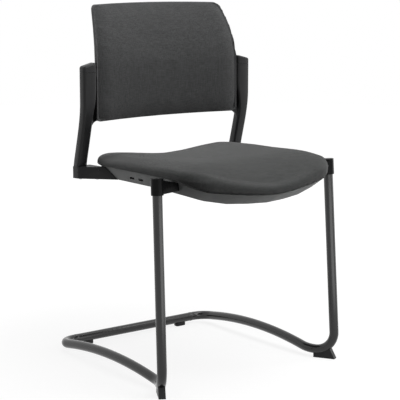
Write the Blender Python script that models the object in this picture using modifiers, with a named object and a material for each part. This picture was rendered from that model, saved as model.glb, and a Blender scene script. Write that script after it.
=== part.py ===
"""Conference chair: a cantilever tube frame with an upholstered seat and back.

Metres, +Z up. The sitter faces -Y, and left and right are the sitter's own (+X is left).
"""

import math

import bmesh
import bpy
from mathutils import Matrix, Vector

# Shared clearances
fit_gap = 0.0003
bore_clearance = 0.0004
cut_overrun = 0.003
merge_distance = 0.00001

# Steel tube and the route of its axis
tube_diameter = 0.022
tube_wall = 0.002
tube_sides_extra = 4
leg_top_height = 0.478
leg_reference_height = 0.440
leg_half_spacing = 0.2491
leg_y = -0.2157
leg_outward_slope_share = 0.0166
leg_forward_slope_share = 0.0587
foot_axis_height = 0.019
foot_bend_radius = 0.045
foot_toe_angle = math.radians(30)
foot_bend_steps = 9
toe_bend_steps = 4
rail_half_spacing = 0.2235
rail_peak_height = 0.0371
rail_peak_y = 0.017
rail_arch_radius = 1.06
rail_steps = 9
rear_bar_y = 0.2334
rear_bar_height = 0.0185
rear_corner_radius = 0.038
rear_corner_steps = 6
weld_half_spacing = 0.178

# Glides
front_glide_length = 0.0535
front_glide_width = 0.016
front_glide_setback = 0.0038
front_glide_nose_angle = math.radians(46)
front_glide_steps = 5
glide_grip = 0.0035
rear_glide_length = 0.029
rear_glide_width = 0.016
rear_glide_corner_radius = 0.005
rear_glide_chamfer = 0.0015
rear_glide_centre_x = 0.144

# Leg sockets and their plugs
socket_bottom_height = 0.4478
socket_top_height = 0.4844
socket_wall = 0.003
socket_web_width = 0.026
socket_web_bottom = 0.4500
socket_web_top = 0.4825
socket_web_foot_rise = 0.004
socket_web_inner_top = 0.4716
web_pan_clearance = 0.001
plug_flange_height = 0.0058
plug_edge_chamfer = 0.0008
plug_depth = 0.004

# Seat outline, shared by the pan, the board and the cushion
seat_centre_y = -0.1
rim_half_width = 0.202
rim_front_y = -0.2793
rim_rear_y = 0.104
rim_front_radius = 0.045
rim_rear_radius = 0.042
front_bow = 0.038
bow_power_share = 1.6
rim_height = 0.4747
rim_roll_start_y = -0.200
rim_roll_radius = 0.200
roll_limit_share = 0.95
corner_lift_start_x = 0.100
corner_lift_length = 0.080
corner_lift_share = 0.5

# Seat pan
pan_wall = 0.003
pan_floor_half_width = 0.196
pan_floor_front_y = -0.247
pan_floor_rear_y = 0.095
pan_floor_front_radius = 0.040
pan_floor_rear_radius = 0.036
pan_floor_height = 0.4483
pan_floor_roll_start_y = -0.123
pan_floor_roll_radius = 0.415
pan_boss_radius = 0.007
pan_boss_proud = 0.0005
pan_slot_length = 0.017
pan_slot_height = 0.0045
pan_slot_height_centre = 0.4593
pan_slot_rear_y = -0.0464
pan_slot_front_y = -0.0818

# Seat board and the cross bars under it
board_thickness = 0.008
board_side_setback = 0.006
board_front_setback = 0.020
board_rear_setback = 0.011
board_dish_rear = 0.009
board_dish_front = 0.006
bar_thickness = 0.004
bar_width = 0.022
bar_board_clearance = 0.0012
bar_slot_clearance = 0.0014
bar_front_reach = 0.008
bar_rear_reach = 0.0045
front_bar_y = -0.2135
rear_bar_seat_y = 0.080

# Seat cushion
cushion_half_width = 0.214
cushion_front_y = -0.284
cushion_rear_y = 0.112
cushion_corner_radius = 0.052
cushion_edge_radius = 0.014
cushion_rear_crest_height = 0.4995
cushion_slope_share = 0.0394
cushion_crest_half_spacing = 0.168
cushion_dish_rear = 0.0126
cushion_dish_front = 0.004
cushion_nose_start_y = -0.205
cushion_nose_radius = 0.133
cushion_nose_lift_share = 0.71
cushion_step_gap = 0.001
dish_sharpness_share = 1.3

# Arms
arm_drop_share = 0.05
arm_height = 0.0275
arm_front_foot_y = 0.011
arm_front_top_y = 0.055
arm_elbow_y = 0.106
arm_rear_y = 0.131
arm_outer_half_width = 0.2450
arm_inner_rear_half_width = 0.196
arm_elbow_radius = 0.012
arm_rear_radius = 0.004
arm_tenon_width = 0.018
arm_tenon_depth = 0.012
arm_tenon_height = 0.020

# Uprights and their caps
upright_outer_half_width = 0.2446
upright_top_width = 0.035
upright_foot_width = 0.0265
upright_widening_rise = 0.070
upright_depth = 0.024
upright_corner_radius = 0.006
upright_top_rise = 0.1155
upright_axis_y = 0.0862
upright_lean_bottom_height = 0.420
upright_lean_top_height = 0.625
upright_lean_shift = 0.038
wing_thickness = 0.005
wing_gap = 0.0004
wing_inner_half_width = 0.182
wing_bottom_rise = 0.001
wing_top_rise = 0.110
wing_fillet_radius = 0.022
cap_outer_rise = 0.0140
cap_inner_rise = 0.0230
cap_edge_radius = 0.004
cap_edge_angles = (0, 45, 90)

# Back panel, shared by the shell, the board and the cushion
panel_bottom_height = 0.576
panel_top_height = 0.8465
panel_half_width = 0.206
panel_top_half_width = 0.1833
panel_taper_start_height = 0.659
panel_taper_power = 2.45
panel_top_bow = 0.003
panel_bottom_radius = 0.011
panel_top_radius = 0.0125
panel_side_y = 0.0808
panel_wrap_depth = 0.030
panel_curl_start_height = 0.696
panel_curl_radius = 0.258
shell_rear_offset = 0.012
shell_rim_offset = -0.001
shell_wall = 0.003
back_board_thickness = 0.006
back_board_edge_gap = 0.0015
back_cushion_edge_offset = -0.0115
back_cushion_crown = 0.006
back_cushion_edge_radius = 0.009

# Screws
screw_shank_radius = 0.0025
screw_head_radius = 0.0045
screw_head_height = 0.0028
screw_clearance = 0.0004
head_chamfer_share = 0.65
head_seat_gap = 0.0005
seat_screw_half_spacing = 0.110
seat_screw_bite = 0.005
socket_screw_x = 0.2175
arm_screw_x = 0.2085
upright_screw_bite = 0.012
back_screw_x = 0.192
back_screw_lower_rise = 0.036
back_screw_upper_rise = 0.092
back_screw_bite = 0.0045
screw_sides = 10

# Mesh density
corner_points = 7
side_points = 6
round_sides = 24
boss_sides = 12
section_steps = 3
fillet_steps = 5
upright_steps = 12
bar_steps = 20
soft_angle = math.radians(35)
inner_shares = (0.35, 0.7, 0.88)
pan_shares = (0.4, 0.7, 0.86)
board_shares = (0.3, 0.55, 0.73, 0.87)
top_shares = (0.3, 0.55, 0.73, 0.86, 0.94, 1)
edge_angles = (60, 30, 0, -30, -60, -90)


# Building blocks
def make_material(name, colour, roughness, metallic=0.0):
    """A Principled material; the colour is linear RGB."""
    material = bpy.data.materials.new(name)
    material.use_nodes = True
    shader = material.node_tree.nodes["Principled BSDF"]
    shader.inputs["Base Color"].default_value = (*colour, 1.0)
    shader.inputs["Roughness"].default_value = roughness
    shader.inputs["Metallic"].default_value = metallic
    material.diffuse_color = (*colour, 1.0)
    return material


def add_object(name, data, material, collection, parent):
    """Link new data to the scene under the chair's origin."""
    piece = bpy.data.objects.new(name, data)
    if material:
        data.materials.append(material)
    collection.objects.link(piece)
    piece.parent = parent
    return piece


def mesh_data(name, shape, smooth_angle=None):
    """Close a bmesh into mesh data with its faces turned outward."""
    bmesh.ops.recalc_face_normals(shape, faces=shape.faces)
    data = bpy.data.meshes.new(name)
    shape.to_mesh(data)
    shape.free()
    if smooth_angle is not None:
        data.shade_smooth()
        data.set_sharp_from_angle(angle=smooth_angle)
    return data


def loft_data(name, rings):
    """Skin a row of closed rings. A ring of one point is a pole, and a full ring at an end is capped."""
    shape = bmesh.new()
    rows = [[shape.verts.new(point) for point in ring] for ring in rings]
    for lower, upper in zip(rows, rows[1:]):
        count = max(len(lower), len(upper))
        for i in range(count):
            j = (i + 1) % count
            corners = (lower[i % len(lower)], lower[j % len(lower)], upper[j % len(upper)], upper[i % len(upper)])
            shape.faces.new(tuple(dict.fromkeys(corners)))
    # The shorter diagonal splits each quad, so two parallel skins stay parallel.
    bmesh.ops.triangulate(shape, faces=shape.faces, quad_method="SHORT_EDGE")
    for end in (rows[0], rows[-1]):
        if len(end) > 1:
            shape.faces.new(end)
    return mesh_data(name, shape, soft_angle)


def cylinder_data(name, radius, length, facets=round_sides):
    """A cylinder along Z from 0 to its length."""
    shape = bmesh.new()
    bmesh.ops.create_cone(
        shape, cap_ends=True, segments=facets, radius1=radius, radius2=radius, depth=length,
        matrix=Matrix.Translation((0, 0, length / 2)),
    )
    return mesh_data(name, shape, soft_angle)


def box_data(name, size):
    """A box around its own centre."""
    shape = bmesh.new()
    bmesh.ops.create_cube(shape, size=1, matrix=Matrix.Diagonal((*size, 1)))
    return mesh_data(name, shape)


def turned_piece(name, profile, facets, material):
    """A profile of (radius, height) points, from the foot up, turned about Z with a Screw modifier."""
    data = bpy.data.meshes.new(name)
    edges = [(i, i + 1) for i in range(len(profile) - 1)]
    data.from_pydata([(radius, 0, height) for radius, height in reversed(profile)], edges, [])
    piece = add_object(name, data, material, chair_pieces, chair)
    turn = piece.modifiers.new("Turn", "SCREW")
    turn.steps = facets
    turn.render_steps = facets
    turn.use_merge_vertices = True
    turn.merge_threshold = merge_distance
    turn.use_smooth_shade = True
    return piece


def tube_curve(name, points, radius):
    """An open-ended tube surface along a row of points."""
    curve = bpy.data.curves.new(name, "CURVE")
    curve.dimensions = "3D"
    curve.bevel_depth = radius
    curve.bevel_resolution = tube_sides_extra
    spline = curve.splines.new("POLY")
    spline.points.add(len(points) - 1)
    for spot, point in zip(spline.points, points):
        spot.co = (*point, 1)
    return curve


def tube_piece(name, points, material):
    """A hollow steel tube: the curve gives its outside and Solidify its wall."""
    piece = add_object(name, tube_curve(name, points, tube_diameter / 2), material, chair_pieces, chair)
    wall = piece.modifiers.new("Wall", "SOLIDIFY")
    wall.thickness = tube_wall
    wall.offset = -1
    return piece


def tube_cutter(name, points, radius):
    """A solid mesh along a row of points, for cutting a saddle or a bore."""
    curve = tube_curve(name, points, radius)
    curve.use_fill_caps = True
    guide = bpy.data.objects.new(name + "_guide", curve)
    bpy.context.scene.collection.objects.link(guide)
    bpy.context.view_layer.update()
    evaluated = guide.evaluated_get(bpy.context.evaluated_depsgraph_get())
    data = bpy.data.meshes.new_from_object(evaluated)
    data.name = name
    bpy.data.objects.remove(guide)
    shape = bmesh.new()
    shape.from_mesh(data)
    bmesh.ops.remove_doubles(shape, verts=shape.verts, dist=merge_distance)
    bmesh.ops.recalc_face_normals(shape, faces=shape.faces)
    shape.to_mesh(data)
    shape.free()
    return add_object(name, data, None, cutters, chair)


def joined(name, tools):
    """One tool out of several that do not meet."""
    shape = bmesh.new()
    for tool in tools:
        tool.data.transform(tool.matrix_basis)
        shape.from_mesh(tool.data)
        bpy.data.objects.remove(tool)
    return add_object(name, mesh_data(name, shape), None, cutters, chair)


def cut(piece, tool, operation="DIFFERENCE"):
    """Apply an exact Boolean between a piece and a hidden tool."""
    change = piece.modifiers.new(tool.name, "BOOLEAN")
    change.operation = operation
    change.solver = "EXACT"
    change.object = tool
    return piece


def place(piece, point, direction=None):
    """Move a piece to a point and, if given, turn its Z axis along a direction."""
    piece.location = point
    if direction is not None:
        piece.rotation_mode = "QUATERNION"
        piece.rotation_quaternion = direction.to_track_quat("Z", "Y")
    return piece


def smooth_step(share):
    """Rise from 0 to 1 with level ends."""
    share = min(max(share, 0), 1)
    return share * share * (3 - 2 * share)


def rounded_rectangle(half_width, low, high, low_radius, high_radius, bow=0):
    """A closed outline of (across, along) points with round corners and a bowed low edge."""
    corners = (
        (half_width - high_radius, high - high_radius, high_radius, 0),
        (high_radius - half_width, high - high_radius, high_radius, 90),
        (low_radius - half_width, low + low_radius, low_radius, 180),
        (half_width - low_radius, low + low_radius, low_radius, 270),
    )
    arcs = []
    for across, along, radius, start in corners:
        angles = [math.radians(start + 90 * i / (corner_points - 1)) for i in range(corner_points)]
        arcs.append([(across + radius * math.cos(a), along + radius * math.sin(a)) for a in angles])
    outline = []
    for arc, following in zip(arcs, arcs[1:] + arcs[:1]):
        outline += arc
        (x0, y0), (x1, y1) = arc[-1], following[0]
        shares = [i / side_points for i in range(1, side_points)]
        outline += [(x0 + (x1 - x0) * share, y0 + (y1 - y0) * share) for share in shares]
    first_low = 2 * (corner_points + side_points - 1)
    low_count = 2 * corner_points + side_points - 1
    for i in range(first_low, first_low + low_count):
        x, y = outline[i]
        outline[i] = (x, y - bow * (1 - (abs(x) / half_width) ** bow_power_share))
    return outline


def scaled_outline(outline, centre, share):
    """An outline drawn in toward a centre by a share."""
    cx, cy = centre
    return [(cx + (x - cx) * share, cy + (y - cy) * share) for x, y in outline]


def blended_outline(first, second, share):
    """An outline part of the way from one to another of the same count."""
    return [(a + (c - a) * share, b + (d - b) * share) for (a, b), (c, d) in zip(first, second)]


def rounded_polygon(corners, radii, steps=4):
    """A closed outline through corner points, each with its own fillet radius."""
    outline = []
    for i, (corner, radius) in enumerate(zip(corners, radii)):
        here = Vector(corner)
        if radius == 0:
            outline.append(tuple(here))
            continue
        back = (Vector(corners[i - 1]) - here).normalized()
        ahead = (Vector(corners[(i + 1) % len(corners)]) - here).normalized()
        half_angle = back.angle(ahead) / 2
        reach = radius / math.tan(half_angle)
        centre = here + (back + ahead).normalized() * radius / math.sin(half_angle)
        first = here + back * reach - centre
        last = here + ahead * reach - centre
        for k in range(steps + 1):
            outline.append(tuple(centre + first.lerp(last, k / steps).normalized() * radius))
    return outline


def sides():
    """The name ending and the X sign of each side."""
    return (("left", 1), ("right", -1))


# Frame
def leg_axis(height, side):
    """The point of a leg's axis at a height."""
    below = leg_reference_height - height
    return Vector((
        side * (leg_half_spacing + below * leg_outward_slope_share), leg_y - below * leg_forward_slope_share, height,
    ))


def leg_direction(side):
    """The upward direction of a leg's axis."""
    return (leg_axis(leg_reference_height, side) - leg_axis(foot_axis_height, side)).normalized()


def rail_height(y):
    """The arched axis height of a side rail."""
    return rail_peak_height - (y - rail_peak_y) ** 2 / (2 * rail_arch_radius)


def foot_heading(side):
    """The horizontal way in which the foot bend runs, from the leg inward and back."""
    return Vector((-side * math.sin(foot_toe_angle), math.cos(foot_toe_angle), 0))


def foot_points(side):
    """The axis of the foot bend, from the leg down to the floor."""
    heading = foot_heading(side)
    start = leg_axis(foot_axis_height + foot_bend_radius, side)
    centre = start + heading * foot_bend_radius
    angles = [math.pi / 2 * i / foot_bend_steps for i in range(foot_bend_steps + 1)]
    return [
        centre - heading * foot_bend_radius * math.cos(a) - Vector((0, 0, foot_bend_radius * math.sin(a)))
        for a in angles
    ]


def toe_points(side):
    """The axis of the shallow bend that turns the foot onto the side rail."""
    start = foot_points(side)[-1]
    inward = abs(start.x) - rail_half_spacing
    radius = inward / (1 - math.cos(foot_toe_angle))
    rail_start_y = start.y + radius * math.sin(foot_toe_angle)
    rise = rail_height(rail_start_y) - foot_axis_height
    points = []
    for i in range(1, toe_bend_steps + 1):
        share = i / toe_bend_steps
        angle = foot_toe_angle * (1 - share)
        x = rail_half_spacing + radius * (1 - math.cos(angle))
        y = rail_start_y - radius * math.sin(angle)
        points.append(Vector((side * x, y, foot_axis_height + rise * share ** 2)))
    return points


def rear_corner_points(side):
    """The axis of the bend from the side rail to the rear bar."""
    start_y = rear_bar_y - rear_corner_radius
    drop = rail_height(start_y) - rear_bar_height
    points = []
    for i in range(rear_corner_steps + 1):
        share = i / rear_corner_steps
        angle = math.pi / 2 * share
        x = rail_half_spacing - rear_corner_radius * (1 - math.cos(angle))
        y = start_y + rear_corner_radius * math.sin(angle)
        points.append(Vector((side * x, y, rear_bar_height + drop * (1 - share) ** 2)))
    return points


def side_tube_points(side):
    """The whole axis of a side tube, from the leg socket to the weld on the rear bar."""
    foot = foot_points(side)
    toe = toe_points(side)
    corner = rear_corner_points(side)
    rail = []
    for i in range(1, rail_steps):
        y = toe[-1].y + (corner[0].y - toe[-1].y) * i / rail_steps
        rail.append(Vector((side * rail_half_spacing, y, rail_height(y))))
    weld = Vector((side * weld_half_spacing, rear_bar_y, rear_bar_height))
    return [leg_axis(leg_top_height, side)] + foot + toe + rail + corner + [weld]


def build_frame():
    """Two side tubes and the rear tube that is welded between their ends."""
    for word, side in sides():
        tube_piece("side_tube_" + word, side_tube_points(side), black_steel)
    ends = [Vector((side * (weld_half_spacing - fit_gap), rear_bar_y, rear_bar_height)) for side in (1, -1)]
    tube_piece("rear_tube", ends, black_steel)


def build_front_glides():
    """Wedge glides, toed out with the foot bends that they carry."""
    bore = tube_diameter / 2 + bore_clearance
    grip_radius = foot_bend_radius + tube_diameter / 2 - glide_grip
    centre_height = foot_axis_height + foot_bend_radius
    profile = [(-front_glide_setback, 0), (front_glide_length - front_glide_setback, 0)]
    for i in range(front_glide_steps + 1):
        angle = front_glide_nose_angle + (math.pi / 2 - front_glide_nose_angle) * i / front_glide_steps
        profile.append((grip_radius * math.cos(angle), centre_height - grip_radius * math.sin(angle)))
    profile.append((-front_glide_setback, centre_height - grip_radius))
    for word, side in sides():
        nose_way = -foot_heading(side)
        across = Vector((nose_way.y, -nose_way.x, 0))
        base = foot_points(side)[-1] - Vector((0, 0, foot_axis_height))
        rings = [
            [base + nose_way * along + across * reach + Vector((0, 0, height)) for along, height in profile]
            for reach in (-front_glide_width / 2, front_glide_width / 2)
        ]
        glide = add_object(
            "front_glide_" + word, loft_data("front_glide", rings), glide_plastic, chair_pieces, chair,
        )
        route = [leg_axis(2 * foot_bend_radius, side)] + foot_points(side) + toe_points(side)
        cut(glide, tube_cutter("front_glide_saddle_" + word, route, bore))


def build_rear_glides():
    """Pad glides with round corners that sit under the rear bar."""
    bore = tube_diameter / 2 + bore_clearance
    levels = (
        (0, rear_glide_chamfer), (rear_glide_chamfer, 0), (rear_bar_height - tube_diameter / 2 + glide_grip, 0),
    )
    for word, side in sides():
        rings = []
        for height, inset in levels:
            radius = rear_glide_corner_radius - inset
            outline = section_rectangle(rear_glide_length / 2 - inset, rear_glide_width / 2 - inset, radius)
            rings.append([Vector((side * rear_glide_centre_x + x, rear_bar_y + y, height)) for x, y in outline])
        glide = add_object(
            "rear_glide_" + word, loft_data("rear_glide", rings), glide_plastic, chair_pieces, chair,
        )
        reach = rear_glide_length / 2 + cut_overrun
        ends = [
            Vector((side * rear_glide_centre_x + way * reach, rear_bar_y, rear_bar_height)) for way in (-1, 1)
        ]
        cut(glide, tube_cutter("rear_glide_saddle_" + word, ends, bore))


# Seat surfaces
def corner_lift(x):
    """The share of the front roll that is taken away toward the corners."""
    return min(1, corner_lift_share * (max(0, abs(x) - corner_lift_start_x) / corner_lift_length) ** 2)


def rolled_height(height, x, y, start_y, radius, lift_share):
    """A level surface that rolls down in front of a line, less so toward the corners."""
    depth = min(max(0, start_y - y), radius * roll_limit_share)
    drop = radius - math.sqrt(radius ** 2 - depth ** 2)
    return height - drop * (1 - lift_share * corner_lift(x))


def rim_z(x, y):
    """The height of the pan's rim, on which the cushion sits."""
    return rolled_height(rim_height, x, y, rim_roll_start_y, rim_roll_radius, 0)


def pan_floor_z(x, y):
    """The height of the pan's underside."""
    return rolled_height(pan_floor_height, x, y, pan_floor_roll_start_y, pan_floor_roll_radius, 1)


def dish(x):
    """The share of the full hollow across the seat, 1 in the middle and 0 at the crests."""
    return 1 - smooth_step(abs(x) / cushion_crest_half_spacing) ** dish_sharpness_share


def length_share(y):
    """0 at the rear of the seat and 1 where its nose starts."""
    return min(max((rim_rear_y - y) / (rim_rear_y - cushion_nose_start_y), 0), 1)


def board_top_z(x, y):
    """The height of the board's upper face."""
    depth = board_dish_rear + (board_dish_front - board_dish_rear) * length_share(y)
    return rim_z(x, y) - fit_gap - depth * dish(x)


def board_under_z(x, y):
    """The height of the board's lower face."""
    return board_top_z(x, y) - board_thickness


def cushion_top_z(x, y):
    """The height of the cushion's crowned top: dished, sloping back, and rolled over at the nose."""
    crest = cushion_rear_crest_height + (rim_rear_y - y) * cushion_slope_share
    crest = rolled_height(crest, x, y, cushion_nose_start_y, cushion_nose_radius, cushion_nose_lift_share)
    hollow = cushion_dish_rear + (cushion_dish_front - cushion_dish_rear) * length_share(y)
    return crest - hollow * dish(x)


def bar_under_z(x, bar_y):
    """The height of a cross bar's lower face, clear of the board along its whole width."""
    edges = (bar_y - bar_width / 2, bar_y + bar_width / 2)
    return min(board_under_z(x, edge) for edge in edges) - bar_board_clearance - bar_thickness


def rim_outline(inset=0):
    return rounded_rectangle(
        rim_half_width - inset, rim_front_y + inset, rim_rear_y - inset, rim_front_radius - inset,
        rim_rear_radius - inset, front_bow,
    )


def pan_floor_outline(inset=0):
    return rounded_rectangle(
        pan_floor_half_width - inset, pan_floor_front_y + inset, pan_floor_rear_y - inset,
        pan_floor_front_radius - inset, pan_floor_rear_radius - inset, front_bow,
    )


def board_outline():
    return rounded_rectangle(
        rim_half_width - board_side_setback, rim_front_y + board_front_setback, rim_rear_y - board_rear_setback,
        rim_front_radius - board_side_setback, rim_rear_radius - board_side_setback, front_bow,
    )


def cushion_outline(inset=0):
    return rounded_rectangle(
        cushion_half_width - inset, cushion_front_y + inset, cushion_rear_y - inset,
        cushion_corner_radius - inset, cushion_corner_radius - inset, front_bow,
    )


def seat_ring(outline, height):
    """An outline lifted onto a seat surface."""
    return [Vector((x, y, height(x, y))) for x, y in outline]


def seat_rings(outline, height, shares):
    """Rings of one outline drawn in by shares, all on one surface."""
    return [seat_ring(scaled_outline(outline, (0, seat_centre_y), share), height) for share in shares]


def seat_pole(height):
    return [Vector((0, seat_centre_y, height(0, seat_centre_y)))]


def pan_wall_x(height):
    """The outer face of the pan's side wall at a height."""
    share = (height - pan_floor_height) / (rim_height - pan_floor_height)
    return pan_floor_half_width + (rim_half_width - pan_floor_half_width) * share


def raised(height, lift):
    """A surface moved up by a distance."""
    return lambda x, y: height(x, y) + lift


def build_pan():
    """The moulded pan: an open tray with a rim, screw bosses, bar openings and two side slots."""
    floor_inside = raised(pan_floor_z, pan_wall)
    rings = [seat_pole(pan_floor_z)]
    rings += seat_rings(pan_floor_outline(), pan_floor_z, pan_shares + (1,))
    rings.append(seat_ring(rim_outline(), rim_z))
    rings.append(seat_ring(rim_outline(pan_wall), rim_z))
    rings += seat_rings(pan_floor_outline(pan_wall), floor_inside, (1,) + pan_shares[::-1])
    rings.append(seat_pole(floor_inside))
    pan = add_object("seat_pan", loft_data("seat_pan", rings), pan_plastic, chair_pieces, chair)
    bosses = []
    tools = []
    for number, (x, bar_y) in enumerate(seat_screw_places()):
        foot = boss_foot_z(x, bar_y)
        top = bar_under_z(abs(x) - pan_boss_radius, bar_y) - fit_gap
        boss = cylinder_data("pan_boss", pan_boss_radius, top - foot, boss_sides)
        bosses.append(place(add_object(f"pan_boss_{number}", boss, None, cutters, chair), (x, bar_y, foot)))
        hole_foot = (x, bar_y, foot - cut_overrun)
        tools.append(screw_hole(f"pan_hole_{number}", hole_foot, top - foot + 2 * cut_overrun))
    slot_size = (pan_wall + 2 * cut_overrun, pan_slot_length, pan_slot_height)
    slot_x = pan_wall_x(pan_slot_height_centre) - pan_wall / 2
    for word, side in sides():
        for bar_word, bar_y in cross_bars():
            inner_x = rim_half_width - rim_rear_radius
            name = f"pan_opening_{bar_word}_{word}"
            tools.append(bar_opening(name, side, inner_x, rim_half_width + cut_overrun, bar_y))
        for number, y in enumerate((pan_slot_rear_y, pan_slot_front_y)):
            slot = add_object(f"pan_slot_{word}_{number}", box_data("pan_slot", slot_size), None, cutters, chair)
            tools.append(place(slot, (side * slot_x, y, pan_slot_height_centre)))
    cut(pan, joined("pan_bosses", bosses), "UNION")
    cut(pan, joined("pan_openings", tools))


def cross_bars():
    """The name and the Y of each cross bar."""
    return (("front_crossbar", front_bar_y), ("rear_crossbar", rear_bar_seat_y))


def seat_screw_places():
    """Where the seat screws go up through the pan and the bars into the board."""
    return [(side * seat_screw_half_spacing, bar_y) for _, bar_y in cross_bars() for _, side in sides()]


def boss_foot_z(x, bar_y):
    """The level underside of a boss, just proud of the pan's rolled floor."""
    return pan_floor_z(x, bar_y - pan_boss_radius) - pan_boss_proud


def screw_hole(name, point, depth):
    """A clearance hole cutter for a screw, upward from a point."""
    hole = cylinder_data(name, screw_shank_radius + screw_clearance, depth, screw_sides)
    return place(add_object(name, hole, None, cutters, chair), point)


def bar_opening(name, side, inner_x, outer_x, bar_y):
    """A box cutter round a cross bar, from an inner to an outer X."""
    size = (outer_x - inner_x, bar_width + 2 * bar_slot_clearance, bar_thickness + 2 * bar_slot_clearance)
    opening = add_object(name, box_data(name, size), None, cutters, chair)
    height = bar_under_z(rim_half_width, bar_y) + bar_thickness / 2
    return place(opening, (side * (inner_x + outer_x) / 2, bar_y, height))


def build_board():
    """The moulded board under the cushion, dished across and rolled down at the front."""
    outline = board_outline()
    rings = [seat_pole(board_under_z)]
    rings += seat_rings(outline, board_under_z, board_shares + (1,))
    rings += seat_rings(outline, board_top_z, (1,) + board_shares[::-1])
    rings.append(seat_pole(board_top_z))
    board = add_object("seat_board", loft_data("seat_board", rings), board_wood, chair_pieces, chair)
    for number, (x, bar_y) in enumerate(seat_screw_places()):
        foot = bar_under_z(x, bar_y)
        depth = bar_thickness + seat_screw_bite + screw_clearance + bar_board_gap(x, bar_y)
        cut(board, screw_hole(f"board_hole_{number}", (x, bar_y, foot), depth))


def bar_board_gap(x, bar_y):
    """The space between a cross bar's top and the board at a point."""
    return board_under_z(x, bar_y) - bar_under_z(x, bar_y) - bar_thickness


def bar_half_length(bar_y):
    """How far a cross bar reaches from the middle, into its sockets or arms."""
    return socket_screw_x + bar_front_reach if bar_y == front_bar_y else arm_screw_x + bar_rear_reach


def build_cross_bars():
    """Flat steel bars bent to the board's underside, which tie the sockets and the arms together."""
    for name, bar_y in cross_bars():
        half_length = bar_half_length(bar_y)
        rings = []
        for i in range(bar_steps + 1):
            x = half_length * (2 * i / bar_steps - 1)
            under = bar_under_z(x, bar_y)
            corners = ((-1, 0), (1, 0), (1, bar_thickness), (-1, bar_thickness))
            rings.append([Vector((x, bar_y + way * bar_width / 2, under + lift)) for way, lift in corners])
        bar = add_object(name, loft_data(name, rings), plain_steel, chair_pieces, chair)
        spots = [side * x for _, side in sides() for x in (seat_screw_half_spacing, bar_screw_x(bar_y))]
        for number, x in enumerate(spots):
            foot = bar_under_z(x, bar_y) - cut_overrun
            cut(bar, screw_hole(f"{name}_hole_{number}", (x, bar_y, foot), bar_thickness + 2 * cut_overrun))


def bar_screw_x(bar_y):
    """Where a bar's end is screwed to its socket or arm."""
    return socket_screw_x if bar_y == front_bar_y else arm_screw_x


def build_seat_cushion():
    """The upholstered cushion: a crowned, dished top, sides drawn in to the rim, and a rolled nose."""
    widest = cushion_outline()
    shoulder = cushion_outline(cushion_edge_radius)
    low = rim_outline()
    rings = [seat_pole(cushion_top_z)]
    rings += seat_rings(shoulder, cushion_top_z, top_shares)
    for angle in edge_angles:
        inner = shoulder if angle > 0 else low
        flat = blended_outline(widest, inner, 1 - math.cos(math.radians(angle)))
        ring = []
        for point, top_point, low_point in zip(flat, shoulder, low):
            top = cushion_top_z(*top_point)
            bottom = rim_z(*low_point) + fit_gap
            height = (top + bottom) / 2 + (top - bottom) / 2 * math.sin(math.radians(angle))
            ring.append(Vector((*point, height)))
        rings.append(ring)
    step = rim_outline(pan_wall + cushion_step_gap)
    rings.append(seat_ring(step, raised(rim_z, fit_gap)))
    rings += seat_rings(board_outline(), raised(board_top_z, fit_gap), (1,) + board_shares[::-1])
    rings.append(seat_pole(raised(board_top_z, fit_gap)))
    add_object("seat_cushion", loft_data("seat_cushion", rings), fabric, chair_pieces, chair)


# Leg sockets
def build_leg_sockets():
    """Sleeves on the leg tops, each with a web that runs inboard to the pan."""
    for word, side in sides():
        direction = leg_direction(side)
        foot = leg_axis(socket_bottom_height, side)
        length = (leg_axis(socket_top_height, side) - foot).length
        radius = tube_diameter / 2 + socket_wall
        sleeve = add_object(
            "leg_socket_" + word, cylinder_data("leg_socket", radius, length), socket_plastic, chair_pieces, chair,
        )
        place(sleeve, foot, direction)
        cut(sleeve, socket_web("socket_web_" + word, side), "UNION")
        bore = cylinder_data("socket_bore", tube_diameter / 2 + bore_clearance, length + 2 * cut_overrun)
        tool = add_object("socket_bore_" + word, bore, None, cutters, chair)
        cut(sleeve, place(tool, foot - direction * cut_overrun, direction))
        outer_x = bar_half_length(front_bar_y) + bar_slot_clearance
        cut(sleeve, bar_opening("socket_opening_" + word, side, pan_floor_half_width, outer_x, front_bar_y))
        cut(sleeve, screw_hole(
            "socket_hole_" + word, (side * socket_screw_x, front_bar_y, socket_web_bottom - cut_overrun),
            bar_under_z(socket_screw_x, front_bar_y) - socket_web_bottom + 2 * cut_overrun,
        ))


def socket_web(name, side):
    """The web between a sleeve and the pan's slanted side wall."""
    outer_x = abs(leg_axis(socket_web_bottom, side).x)
    foot = socket_web_bottom + socket_web_foot_rise
    stations = (
        ((outer_x, socket_web_bottom), (outer_x, socket_web_top)),
        ((web_inner_x(foot), foot), (web_inner_x(socket_web_inner_top), socket_web_inner_top)),
    )
    rings = []
    for (low_x, low_z), (high_x, high_z) in stations:
        front = front_bar_y - socket_web_width / 2
        rear = front_bar_y + socket_web_width / 2
        rings.append([Vector((side * x, y, z)) for x, y, z in (
            (low_x, front, low_z), (low_x, rear, low_z), (high_x, rear, high_z), (high_x, front, high_z),
        )])
    return add_object(name, loft_data(name, rings), None, cutters, chair)


def web_inner_x(height):
    """The inboard end of a web, just clear of the pan's side wall."""
    return pan_wall_x(height) + web_pan_clearance


def build_socket_plugs():
    """Plugs that close the tube ends inside the sockets."""
    outer = tube_diameter / 2
    spigot = tube_diameter / 2 - tube_wall - 2 * bore_clearance
    profile = (
        (0, -plug_depth), (spigot, -plug_depth), (spigot, 0), (outer, 0), (outer, plug_flange_height),
        (outer - plug_edge_chamfer, plug_flange_height + plug_edge_chamfer),
        (0, plug_flange_height + plug_edge_chamfer),
    )
    for word, side in sides():
        plug = turned_piece("socket_plug_" + word, profile, round_sides, socket_plastic)
        place(plug, leg_axis(leg_top_height + fit_gap, side), leg_direction(side))


# Arms, uprights and caps
def upright_top_z():
    """The height at which a post ends and its cap begins."""
    return panel_bottom_height + upright_top_rise


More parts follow.
